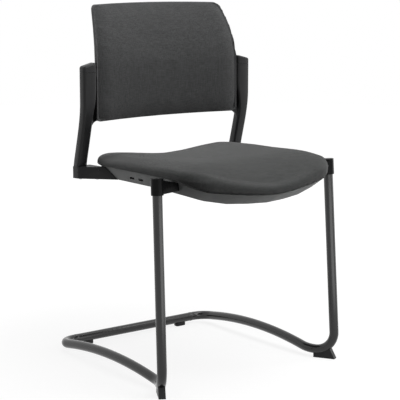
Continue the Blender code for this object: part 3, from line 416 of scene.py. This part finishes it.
# %% Dress the plastic and steel pieces
sides = (("left", 1), ("right", -1))
arm_step = 0.0009
for word, side in sides:
    dress("leg_socket_" + word, socket_plastic, "socket_plastic", edge=0.0008)
    dress("socket_plug_" + word, socket_plastic, "socket_plastic", edge=0.0003)
    dress("front_glide_" + word, glide_plastic, "glide_plastic", edge=0.0010)
    dress("rear_glide_" + word, glide_plastic, "glide_plastic", edge=0.0005)
    dress("arm_" + word, arm_plastic, "arm_plastic", edge=0.0015, segments=3, join=arm_step)
    dress("upright_" + word, upright_plastic, "upright_plastic", edge=0.0006)
    dress("upright_cap_" + word, upright_plastic, "upright_plastic", edge=0.0004)
dress("seat_pan", pan_plastic, "pan_plastic", edge=0.0009)
dress("back_shell", shell_plastic, "shell_plastic", edge=0.0008)
dress("front_crossbar", plain_steel, "plain_steel", edge=0.0004)
dress("rear_crossbar", plain_steel, "plain_steel", edge=0.0004)
for name in ("seat_board", "back_board"):
    nodes[name].data.materials.clear()
    nodes[name].data.materials.append(board_wood)
print("Dressed the plastic pieces and the bars")

# %% [markdown]
# ## Round tubes
#
# The solid tubes have twelve flat sides. The finished ones are swept along the same route with
# more sides, so the route is written out here: a leg, the foot bend, a toe bend, the arched rail
# and the rear corner.

# %% Name the tube's sizes
frame_shift = 0.0388
tube_radius = 0.011
leg_top_height = 0.478
leg_reference_height = 0.440
leg_half_spacing = 0.2491
leg_y = -0.2157
leg_outward_slope = 0.0166
leg_forward_slope = 0.0587
foot_axis_height = 0.019
foot_bend_radius = 0.045
foot_toe_angle = math.radians(30)
rail_half_spacing = 0.2235
rail_peak_height = 0.0371
rail_peak_y = 0.017
rail_arch_radius = 1.06
rear_bar_y = 0.2334
rear_bar_height = 0.0185
rear_corner_radius = 0.038
weld_half_spacing = 0.178


def leg_axis(height, side):
    """The point of a leg's axis at a height."""
    below = leg_reference_height - height
    x = side * (leg_half_spacing + below * leg_outward_slope)
    return Vector((x, leg_y - below * leg_forward_slope, height))


def rail_height(y):
    """The arched axis height of a side rail."""
    return rail_peak_height - (y - rail_peak_y) ** 2 / (2 * rail_arch_radius)


rail_rise = rail_peak_height - rail_height(rear_bar_y - rear_corner_radius)
print("The side rails arch by", round(1000 * rail_rise, 1), "mm toward the rear")

# %% [markdown]
# The route is built from the top of the leg down. Each bend adds points by its own angle, and the
# frame shift at the end puts the route where the solids are.

# %% Lay out a side tube's route
def side_route(side, foot_steps=20, toe_steps=10, rail_steps=24, corner_steps=16):
    """The axis of a side tube, from the leg socket to the weld."""
    heading = Vector((-side * math.sin(foot_toe_angle), math.cos(foot_toe_angle), 0))
    start = leg_axis(foot_axis_height + foot_bend_radius, side)
    centre = start + heading * foot_bend_radius
    route = [leg_axis(leg_top_height, side)]
    for i in range(foot_steps + 1):
        angle = math.pi / 2 * i / foot_steps
        drop = Vector((0, 0, foot_bend_radius * math.sin(angle)))
        route.append(centre - heading * foot_bend_radius * math.cos(angle) - drop)
    foot = route[-1]
    radius = (abs(foot.x) - rail_half_spacing) / (1 - math.cos(foot_toe_angle))
    rail_start_y = foot.y + radius * math.sin(foot_toe_angle)
    rise = rail_height(rail_start_y) - foot_axis_height
    for i in range(1, toe_steps + 1):
        share = i / toe_steps
        angle = foot_toe_angle * (1 - share)
        x = rail_half_spacing + radius * (1 - math.cos(angle))
        height = foot_axis_height + rise * share ** 2
        route.append(Vector((side * x, rail_start_y - radius * math.sin(angle), height)))
    rail_end_y = rear_bar_y - rear_corner_radius
    for i in range(1, rail_steps):
        y = rail_start_y + (rail_end_y - rail_start_y) * i / rail_steps
        route.append(Vector((side * rail_half_spacing, y, rail_height(y))))
    drop = rail_height(rail_end_y) - rear_bar_height
    for i in range(corner_steps + 1):
        share = i / corner_steps
        angle = math.pi / 2 * share
        x = rail_half_spacing - rear_corner_radius * (1 - math.cos(angle))
        y = rail_end_y + rear_corner_radius * math.sin(angle)
        route.append(Vector((side * x, y, rear_bar_height + drop * (1 - share) ** 2)))
    route.append(Vector((side * weld_half_spacing, rear_bar_y, rear_bar_height)))
    return [point + Vector((0, frame_shift, 0)) for point in route]


print("A side tube's route has", len(side_route(1)), "points")

# %% [markdown]
# A ring of points is carried along the route and turned with it, so the tube never twists. A
# radius for each point lets the same tool make the weld beads later.

# %% Sweep the tubes
tube_facets = 32
tube_end_angle = math.radians(50)


def swept_tube(name, route, radii):
    """A closed round tube along a route, with a radius at each point."""
    shape = bmesh.new()
    tangents = []
    for i in range(len(route)):
        tangents.append((route[min(i + 1, len(route) - 1)] - route[max(i - 1, 0)]).normalized())
    across = tangents[0].orthogonal().normalized()
    rows = []
    for i, (point, tangent, radius) in enumerate(zip(route, tangents, radii)):
        if i:
            across = tangents[i - 1].rotation_difference(tangent) @ across
        other = tangent.cross(across)
        turns = [2 * math.pi * k / tube_facets for k in range(tube_facets)]
        spokes = [across * math.cos(a) + other * math.sin(a) for a in turns]
        rows.append([shape.verts.new(point + spoke * radius) for spoke in spokes])
    for lower, upper in zip(rows, rows[1:]):
        for k in range(tube_facets):
            j = (k + 1) % tube_facets
            shape.faces.new((lower[k], lower[j], upper[j], upper[k]))
    shape.faces.new(rows[0][::-1])
    shape.faces.new(rows[-1])
    bmesh.ops.recalc_face_normals(shape, faces=shape.faces)
    data = bpy.data.meshes.new(name)
    shape.to_mesh(data)
    shape.free()
    data.shade_smooth()
    data.set_sharp_from_angle(angle=tube_end_angle)
    return data


for word, side in sides:
    route = side_route(side)
    data = swept_tube("side_tube_round_" + word, route, [tube_radius] * len(route))
    new_piece("side_tube_round_" + word, data, black_steel, "black_steel", "side_tube_" + word)
bar_steps = 12
bar_route = [
    Vector((weld_half_spacing * (1 - 2 * i / bar_steps), rear_bar_y + frame_shift, rear_bar_height))
    for i in range(bar_steps + 1)
]
data = swept_tube("rear_tube_round", bar_route, [tube_radius] * len(bar_route))
new_piece("rear_tube_round", data, black_steel, "black_steel", "rear_tube")
print("Swept two side tubes and the rear tube with", tube_facets, "sides")

# %% [markdown]
# Where the tubes meet, a weld runs round the joint under the powder coat. It is a low ring whose
# height ripples slightly, as a hand-laid bead does.

# %% Lay the weld beads
bead_steps = 8
weld_half_length = 0.004
weld_height = 0.0007
weld_sink = 0.0002
ripple_share = 0.012
ripple_waves = 9
for word, side in sides:
    route, radii = [], []
    for i in range(bead_steps + 1):
        along = 2 * i / bead_steps - 1
        x = side * (weld_half_spacing + along * weld_half_length)
        route.append(Vector((x, rear_bar_y + frame_shift, rear_bar_height)))
        radii.append(tube_radius - weld_sink + weld_height * (1 - along ** 2))
    data = swept_tube("weld_bead_" + word, route, radii)
    for number, vertex in enumerate(data.vertices):
        turn = 2 * math.pi * (number % tube_facets) / tube_facets
        centre = Vector((vertex.co.x, rear_bar_y + frame_shift, rear_bar_height))
        ripple = 1 + ripple_share * math.sin(ripple_waves * turn)
        vertex.co = centre + (vertex.co - centre) * ripple
    new_piece("weld_bead_" + word, data, black_steel, "black_steel")
print("Laid two weld beads")

# %% [markdown]
# ## Screws
#
# Each screw has a domed head with a round socket for the driver. The profile below is half of its
# section, from the socket's floor over the head to the shank. A screw may point any way, so its
# axis is found from the solid's own points: the longest direction through them, with the wider
# end as the head.

# %% Find where a screw's head sits
head_radius = 0.0045
head_height = 0.0028
socket_radius = 0.0018
socket_depth = 0.0016
socket_chamfer = 0.0002
shank_radius = 0.0024
head_begins = 0.0035
tip_chamfer = 0.0008
tip_radius_share = 0.6
screw_facets = 24
# Share of the head's radius, and how far the dome has dropped there
dome = ((0.6, 0.0001), (0.85, 0.0007), (1.0, 0.0018))
screw_profile = (
    (0, -head_height + socket_depth),
    (socket_radius, -head_height + socket_depth),
    (socket_radius, -head_height + socket_chamfer),
    (socket_radius + socket_chamfer, -head_height),
    *((head_radius * share, -head_height + drop) for share, drop in dome),
    (head_radius, 0),
    (shank_radius, 0),
)


def head_place(node):
    """The middle of a screw head's bearing face, and the way the shank runs."""
    corners = np.array([vertex.co for vertex in nodes[node].data.vertices])
    middle = corners.mean(axis=0)
    _, _, axes = np.linalg.svd(corners - middle, full_matrices=False)
    way = axes[0]
    along = (corners - middle) @ way
    spread = np.linalg.norm(corners - middle - np.outer(along, way), axis=1)
    if along[spread > head_begins].mean() > 0:
        way, along = -way, -along
    bearing = middle + way * (along.min() + head_height)
    return Vector(bearing), Vector(way), float(along.max() - along.min())


screw_nodes = sorted(name for name in nodes if "_screw_" in name)
lengths = [round(1000 * head_place(node)[2], 1) for node in screw_nodes]
print("Screws from", min(lengths), "to", max(lengths), "mm long")

# %% [markdown]
# The profile is turned about Z, like on a lathe, and the tip of the shank closes it. Each screw
# is then tipped onto its own axis.

# %% Turn the screws
screw_edge_angle = math.radians(40)


def turned_screw(name, length):
    """The profile turned about Z, closed by the tip of the shank."""
    shape = bmesh.new()
    tip = length - head_height
    tip_end = ((shank_radius, tip - tip_chamfer), (shank_radius * tip_radius_share, tip))
    rows = []
    for radius, height in screw_profile + tip_end:
        if radius == 0:
            rows.append([shape.verts.new((0, 0, height))])
            continue
        turns = [2 * math.pi * k / screw_facets for k in range(screw_facets)]
        rows.append([
            shape.verts.new((radius * math.cos(a), radius * math.sin(a), height)) for a in turns
        ])
    for lower, upper in zip(rows, rows[1:]):
        for k in range(screw_facets):
            j = (k + 1) % screw_facets
            corners = (lower[k % len(lower)], lower[j % len(lower)], upper[j], upper[k])
            shape.faces.new(tuple(dict.fromkeys(corners)))
    shape.faces.new(rows[-1])
    bmesh.ops.recalc_face_normals(shape, faces=shape.faces)
    data = bpy.data.meshes.new(name)
    shape.to_mesh(data)
    shape.free()
    data.shade_smooth()
    data.set_sharp_from_angle(angle=screw_edge_angle)
    return data


for node in screw_nodes:
    point, way, length = head_place(node)
    data = turned_screw(node + "_finished", length)
    data.transform(Matrix.Translation(point) @ way.to_track_quat("Z", "Y").to_matrix().to_4x4())
    new_piece(node + "_finished", data, zinc, "zinc", node)
print("Turned", len(screw_nodes), "screws")

# %% [markdown]
# ## Cushions
#
# Each cushion is foam under a taut, glued cover: no seam shows, and its face swells slightly. A
# block with rounded edges would look hard, so its points are moved. These helpers read a mesh's
# points and normals as tables and write them back.

# %% Read and write a mesh's points
def evaluated_mesh(piece):
    """The mesh that a piece's modifiers make now."""
    bpy.context.view_layer.update()
    graph = bpy.context.evaluated_depsgraph_get()
    return bpy.data.meshes.new_from_object(piece.evaluated_get(graph))


def applied(piece):
    """Put what the modifiers make into the piece's own mesh."""
    data = evaluated_mesh(piece)
    piece.modifiers.clear()
    old = piece.data
    piece.data = data
    bpy.data.meshes.remove(old)


def coordinates(data):
    """A mesh's points as rows of three."""
    flat = np.empty(len(data.vertices) * 3)
    data.vertices.foreach_get("co", flat)
    return flat.reshape(-1, 3)


def normals(data):
    """A mesh's point normals as rows of three."""
    flat = np.empty(len(data.vertices) * 3)
    data.vertex_normals.foreach_get("vector", flat)
    return flat.reshape(-1, 3)


def place_points(data, points):
    """Move a mesh's points to new places."""
    data.vertices.foreach_set("co", points.ravel())
    data.update()


print("A mesh's points can be read and written as tables")

# %% [markdown]
# To smooth a movement, each point takes the mean of its own value and its neighbours' mean, a
# number of times. The edges of the mesh say who the neighbours are.

# %% Average values over neighbours
def smoothed(data, values, rounds):
    """Values at a mesh's points, averaged with their neighbours' a number of times."""
    ends = np.empty(len(data.edges) * 2, dtype=int)
    data.edges.foreach_get("vertices", ends)
    first, second = ends.reshape(-1, 2).T
    counts = np.bincount(ends, minlength=len(values))[:, None]
    for _ in range(rounds):
        total = np.zeros_like(values)
        np.add.at(total, first, values[second])
        np.add.at(total, second, values[first])
        values = (values + total / counts) / 2
    return values


print("Values can be averaged over a mesh's neighbours")

# %% [markdown]
# A cushion's solid has long thin faces, which can't swell evenly. A voxel remesh makes small,
# even ones, and leaves steps. Smoothing takes the steps away, and a Shrinkwrap puts the points
# back on the solid.

# %% Make even faces
relax_rounds = 6
soften_rounds = 2
voxel = 0.004


def even_faces(node, name, face_size):
    """A copy of a solid with small, even faces and no voxel steps."""
    shape = clean_shape(node)
    data = bpy.data.meshes.new(name)
    shape.to_mesh(data)
    shape.free()
    piece = bpy.data.objects.new(name, data)
    bpy.context.scene.collection.objects.link(piece)
    remesh = piece.modifiers.new("Even faces", "REMESH")
    remesh.mode = "VOXEL"
    remesh.voxel_size = face_size
    relax = piece.modifiers.new("Relax the steps", "SMOOTH")
    relax.iterations = relax_rounds
    wrap = piece.modifiers.new("Back to the solid", "SHRINKWRAP")
    wrap.target = nodes[node]
    wrap.wrap_method = "NEAREST_SURFACEPOINT"
    soften = piece.modifiers.new("Soften the facets", "SMOOTH")
    soften.iterations = soften_rounds
    applied(piece)
    return piece


print("Faces of about", round(1000 * voxel), "mm for the cushions")

# %% [markdown]
# The cover is a cloth with a light pressure inside. Its side on the board is held, as the glue
# holds it. No point may move further than the cap, so the chair keeps its size, and the movement
# is averaged, because a taut cover has no wrinkles.

# %% Swell a cushion
frames = 20
pressure = 4.0
calming_rounds = 60


def draw_in(piece, depth, held):
    """Move every free point inward by a small depth, to leave room to swell."""
    points = coordinates(piece.data)
    place_points(piece.data, points - normals(piece.data) * depth * ~held[:, None])


def inflate(piece, held, cap):
    """Swell a piece as cloth. Held points stay, and no point moves further than the cap."""
    before = coordinates(piece.data)
    group = piece.vertex_groups.new(name="held")
    for index in np.flatnonzero(held):
        group.add([int(index)], 1.0, "REPLACE")
    cloth = piece.modifiers.new("Cloth", "CLOTH")
    cloth.settings.quality = 5
    cloth.settings.mass = 0.3
    cloth.settings.tension_stiffness = 15
    cloth.settings.compression_stiffness = 15
    cloth.settings.shear_stiffness = 5
    cloth.settings.bending_stiffness = 0.5
    cloth.settings.use_pressure = True
    cloth.settings.uniform_pressure_force = pressure
    cloth.settings.effector_weights.gravity = 0
    cloth.settings.vertex_group_mass = "held"
    cloth.point_cache.frame_start = 1
    cloth.point_cache.frame_end = frames
    scene = bpy.context.scene
    for number in range(1, frames + 1):
        scene.frame_set(number)
    applied(piece)
    scene.frame_set(1)
    move = coordinates(piece.data) - before
    length = np.linalg.norm(move, axis=1)
    limit = cap * np.tanh(length / cap) / np.maximum(length, 1e-9)
    move = smoothed(piece.data, move * limit[:, None] * ~held[:, None], calming_rounds)
    place_points(piece.data, before + move)
    largest = 1000 * float(np.linalg.norm(move, axis=1).max())
    print(piece.name, "swelled by up to", round(largest, 1), "mm")


print("The cover swells over", frames, "frames of cloth")

# %% [markdown]
# Moulded foam is seldom as square as its board: the seat's sides slope down to a low, full edge.
# A point's share of the slope depends on how far it lies inside the widest point of its own
# level.

# %% Slope the seat's sides
level_count = 60
level_half_height = 0.005
slope_end_y = 0.145
slope_fade_length = 0.05
pan_rim_height = 0.475
rim_fade_height = 0.015


def ramp(value, start, length):
    """A share that rises from 0 at the start to 1 after a length, which may be negative."""
    return np.clip((value - start) / length, 0, 1)


def gap_to_side(x, along):
    """How far each point lies inside the widest point of its own level."""
    levels = np.linspace(along.min(), along.max(), level_count)
    reach = [np.abs(x[np.abs(along - level) < level_half_height]).max() for level in levels]
    return np.interp(along, levels, reach) - np.abs(x)


def slope_seat_sides(piece, width, depth):
    """Let the seat's sides slope down to a low, full edge."""
    x, y, z = coordinates(piece.data).T
    inward = ramp(gap_to_side(x, y), 0, width)
    slope = 1 - inward ** 2 * (3 - 2 * inward)
    fade = ramp(y, slope_end_y, -slope_fade_length) * ramp(z, pan_rim_height, rim_fade_height)
    place_points(piece.data, np.stack([x, y, z - depth * slope * fade], axis=1))


print("The slope fades out toward y =", slope_end_y)

# %% [markdown]
# The remeshed solid still shows faint waves where its large facets met, and a soft light brings
# them out on the front half of the seat. There the height is averaged widely, but only where the
# face looks up.

# %% Calm the seat's front
flat_from = 0.55
flat_range = 0.40
front_begins_y = 0.02
front_fade_length = 0.10
edge_rounds = 12


def calm_front(piece, spacing, reach):
    """Even out an upward face's front half, and leave its steep edges as they are."""
    points = coordinates(piece.data)
    flatness = ramp(normals(piece.data)[:, 2:], flat_from, flat_range)
    ahead = ramp(points[:, 1:2], front_begins_y, -front_fade_length)
    share = smoothed(piece.data, flatness * ahead, edge_rounds)
    calm = smoothed(piece.data, points[:, 2:], round((2 * reach / spacing) ** 2))
    points[:, 2:] += share * (calm - points[:, 2:])
    place_points(piece.data, points)


print("The front is calmed ahead of y =", front_begins_y)

# %% [markdown]
# The back's face rolls over toward its sides, and half as much toward its ends. Its sides bulge a
# little past the board, because the cover pulls the foam round the edge.

# %% Roll the back's edges over
bulge_width = 0.012
end_share = 0.5


def roll_back_edges(piece, width, depth, overhang):
    """Round the back's face over toward its edges, and let its sides bulge."""
    x, y, z = coordinates(piece.data).T
    side_gap = gap_to_side(x, z)
    end_gap = np.minimum(z - z.min(), z.max() - z)
    roll = ramp(side_gap, width, -width) ** 2 + end_share * ramp(end_gap, width, -width) ** 2
    facing = np.clip(-normals(piece.data)[:, 1], 0, 1)
    bulge = np.sign(x) * overhang * ramp(side_gap, bulge_width, -bulge_width)
    place_points(piece.data, np.stack([x + bulge, y + depth * roll * facing, z], axis=1))


print("The back's sides bulge over their outer", round(1000 * bulge_width), "mm")

# %% [markdown]
# The seat comes first, then the back. Each is shaped, swelled and subdivided once, and then takes
# the place of its solid.

# %% Upholster the seat and the back
def finish_cushion(piece, node, material):
    """Subdivide once, colour, and let the cushion stand in for its solid."""
    finer = piece.modifiers.new("Finer", "SUBSURF")
    finer.levels = finer.render_levels = 1
    applied(piece)
    piece.data.materials.clear()
    piece.data.materials.append(material)
    piece.data.shade_smooth()
    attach(piece, "root")
    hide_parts(node)


held_slant = 0.35
seat = even_faces("seat_cushion", "seat_upholstery", voxel)
seat_held = normals(seat.data)[:, 2] < -held_slant
draw_in(seat, depth=0.0012, held=seat_held)
slope_seat_sides(seat, width=0.034, depth=0.009)
calm_front(seat, spacing=voxel, reach=0.020)
inflate(seat, seat_held, cap=0.0022)
finish_cushion(seat, "seat_cushion", seat_cloth)

back = even_faces("back_cushion", "back_upholstery", voxel)
back_held = normals(back.data)[:, 1] > held_slant
draw_in(back, depth=0.0010, held=back_held)
roll_back_edges(back, width=0.038, depth=0.012, overhang=0.003)
inflate(back, back_held, cap=0.0018)
finish_cushion(back, "back_cushion", back_cloth_painted_lighter)
print("Upholstered the seat and the back")

# %% [markdown]
# ## The studio
#
# A white floor carries on into a white surround. The camera and mirrored rays see both as white,
# with the chair's faint shadow on the floor, while every other ray meets a grey floor and a dim
# dome, so the white costs no contrast on the chair. Which kind of ray it is comes from the Light
# Path node.

# %% Tell the rays that see white from the others
def sees_white(tree):
    """1 for the camera's own rays and for mirrored or transmitted ones."""
    path = tree.nodes.new("ShaderNodeLightPath")
    glossy, through = path.outputs["Is Glossy Ray"], path.outputs["Is Transmission Ray"]
    mirrored = arithmetic(tree, "MAXIMUM", glossy, through)
    return arithmetic(tree, "MAXIMUM", path.outputs["Is Camera Ray"], mirrored)


def grey_node(tree, kind, grey):
    """A diffuse or background node with a grey colour."""
    node = tree.nodes.new(kind)
    node.inputs["Color"].default_value = (grey, grey, grey, 1)
    return node


def choose(tree, kind, unseen, seen):
    """Show one shader to the rays that see white and another to the rest."""
    choice = tree.nodes.new("ShaderNodeMixShader")
    output = tree.nodes.new(kind)
    tree.links.new(sees_white(tree), choice.inputs[0])
    tree.links.new(unseen.outputs[0], choice.inputs[1])
    tree.links.new(seen.outputs[0], choice.inputs[2])
    tree.links.new(choice.outputs[0], output.inputs["Surface"])


print("Camera, glossy and transmission rays see white")

# %% [markdown]
# The seen floor adds two shaders. Its glow rises from a little below white under the chair to
# white further out, and its diffuse part is what the chair's shadow takes away.

# %% Make the floor's material
floor_grey = 0.24
seen_floor_grey = 0.25
glow_near, glow_far = 0.84, 1.0
glow_start, glow_end = 0.5, 1.6

floor_material = bpy.data.materials.new("studio_floor")
floor_material.use_nodes = True
tree = floor_material.node_tree
tree.nodes.clear()
pale = grey_node(tree, "ShaderNodeBsdfDiffuse", floor_grey)
shadowed = grey_node(tree, "ShaderNodeBsdfDiffuse", seen_floor_grey)
distance = tree.nodes.new("ShaderNodeVectorMath")
distance.operation = "LENGTH"
tree.links.new(position(tree), distance.inputs[0])
glow = remap(tree, distance.outputs["Value"], glow_near, glow_far, glow_start, glow_end)
white = tree.nodes.new("ShaderNodeEmission")
tree.links.new(glow, white.inputs["Strength"])
seen_floor = tree.nodes.new("ShaderNodeAddShader")
tree.links.new(shadowed.outputs[0], seen_floor.inputs[0])
tree.links.new(white.outputs[0], seen_floor.inputs[1])
choose(tree, "ShaderNodeOutputMaterial", pale, seen_floor)
print("The floor's glow rises from", glow_near, "to", glow_far)

# %% [markdown]
# The floor is a wide disc just under the glides.

# %% Lay the floor
floor_radius = 6.0
floor_sink = 0.0005
floor_shape = bmesh.new()
bmesh.ops.create_circle(floor_shape, cap_ends=True, segments=64, radius=floor_radius)
floor_data = bpy.data.meshes.new("studio_floor")
floor_shape.to_mesh(floor_data)
floor_shape.free()
floor = bpy.data.objects.new("studio_floor", floor_data)
floor.location.z = -floor_sink
floor_data.materials.append(floor_material)
bpy.context.scene.collection.objects.link(floor)
print("Laid a floor", 2 * floor_radius, "m wide")

# %% [markdown]
# The world works the same way: white where it is seen, and a dim dome for the light that reaches
# the chair from everywhere, so that the lamps alone shape it.

# %% Build the surround
dome_strength = 0.05
world = bpy.data.worlds.new("studio_surround")
bpy.context.scene.world = world
world.use_nodes = True
tree = world.node_tree
tree.nodes.clear()
dome = grey_node(tree, "ShaderNodeBackground", 1)
dome.inputs["Strength"].default_value = dome_strength
seen = grey_node(tree, "ShaderNodeBackground", 1)
seen.inputs["Strength"].default_value = 1.0
choose(tree, "ShaderNodeOutputWorld", dome, seen)
print("The dome's light has a strength of", dome_strength)

# %% [markdown]
# A large soft lamp overhead lights the seat more than its front edge, and one high in front
# lights the back. One at each side draws the outer edges of the chair. A low card in front is
# there for gloss alone: it draws the long soft lines on the tubes and adds nothing to the cloth.
# The lamp at the rear left is the opposite: it adds no gloss, or it would run along the near rail
# as a hard line. None of them shows in a picture itself.

# %% Hang the lamps
def softbox(name, compass, distance, height, width, tall, radiance, tilt=90):
    """A lamp panel that faces the chair. The compass is from +X, and tilt 0 faces down."""
    lamp = bpy.data.lights.new(name, "AREA")
    lamp.shape = "RECTANGLE"
    lamp.size = width
    lamp.size_y = tall
    lamp.energy = radiance * math.pi * width * tall
    holder = bpy.data.objects.new(name, lamp)
    turn = math.radians(compass)
    holder.location = (distance * math.cos(turn), distance * math.sin(turn), height)
    holder.rotation_euler = (math.radians(tilt), 0, turn + math.pi / 2)
    holder.visible_camera = False
    bpy.context.scene.collection.objects.link(holder)
    return holder


# Compass in degrees, distance, height of the middle, width, tallness and radiance
rear_left_softbox = softbox("rear_left_softbox", 130, 2.5, 0.95, 0.8, 1.8, 5.0)
rear_left_softbox.visible_glossy = False
softbox("right_softbox", 335, 2.6, 1.10, 0.7, 1.8, 3.4)
softbox("high_front_softbox", 290, 2.0, 1.9, 1.0, 1.0, 3.0, tilt=52)
softbox("ceiling_softbox", 305, 0.86, 2.5, 2.4, 2.4, 2.5, tilt=0)
gloss_card = softbox("gloss_card", 275, 0.86, 0.2, 0.9, 0.4, 1.8)
gloss_card.visible_diffuse = False
print("Hung four softboxes, and a card for the tubes")

# %% [markdown]
# ## The camera
#
# The camera stands where the photograph was taken: in front of the chair, to the sitter's right,
# a little higher than the chair's top, with a long lens.

# %% Place the camera
heading = math.radians(37.536)
pitch = math.radians(9.859)
photo_width = 400
focal_length_pixels = 1376.69
camera_spot = Vector((-1.9527, -2.5831, 0.9445))
camera_data = bpy.data.cameras.new("photo_camera")
camera_data.sensor_width = 36
camera_data.sensor_fit = "HORIZONTAL"
camera_data.lens = focal_length_pixels / photo_width * camera_data.sensor_width
camera = bpy.data.objects.new("photo_camera", camera_data)
camera.location = camera_spot + Vector((0, frame_shift, 0))
level_look = Vector((math.sin(heading), math.cos(heading), 0))
look = level_look * math.cos(pitch) - Vector((0, 0, math.sin(pitch)))
camera.rotation_euler = look.to_track_quat("-Z", "Y").to_euler()
bpy.context.scene.collection.objects.link(camera)
bpy.context.scene.camera = camera
bpy.context.scene.view_settings.view_transform = "Standard"
print("Camera lens:", round(camera_data.lens, 1), "mm")
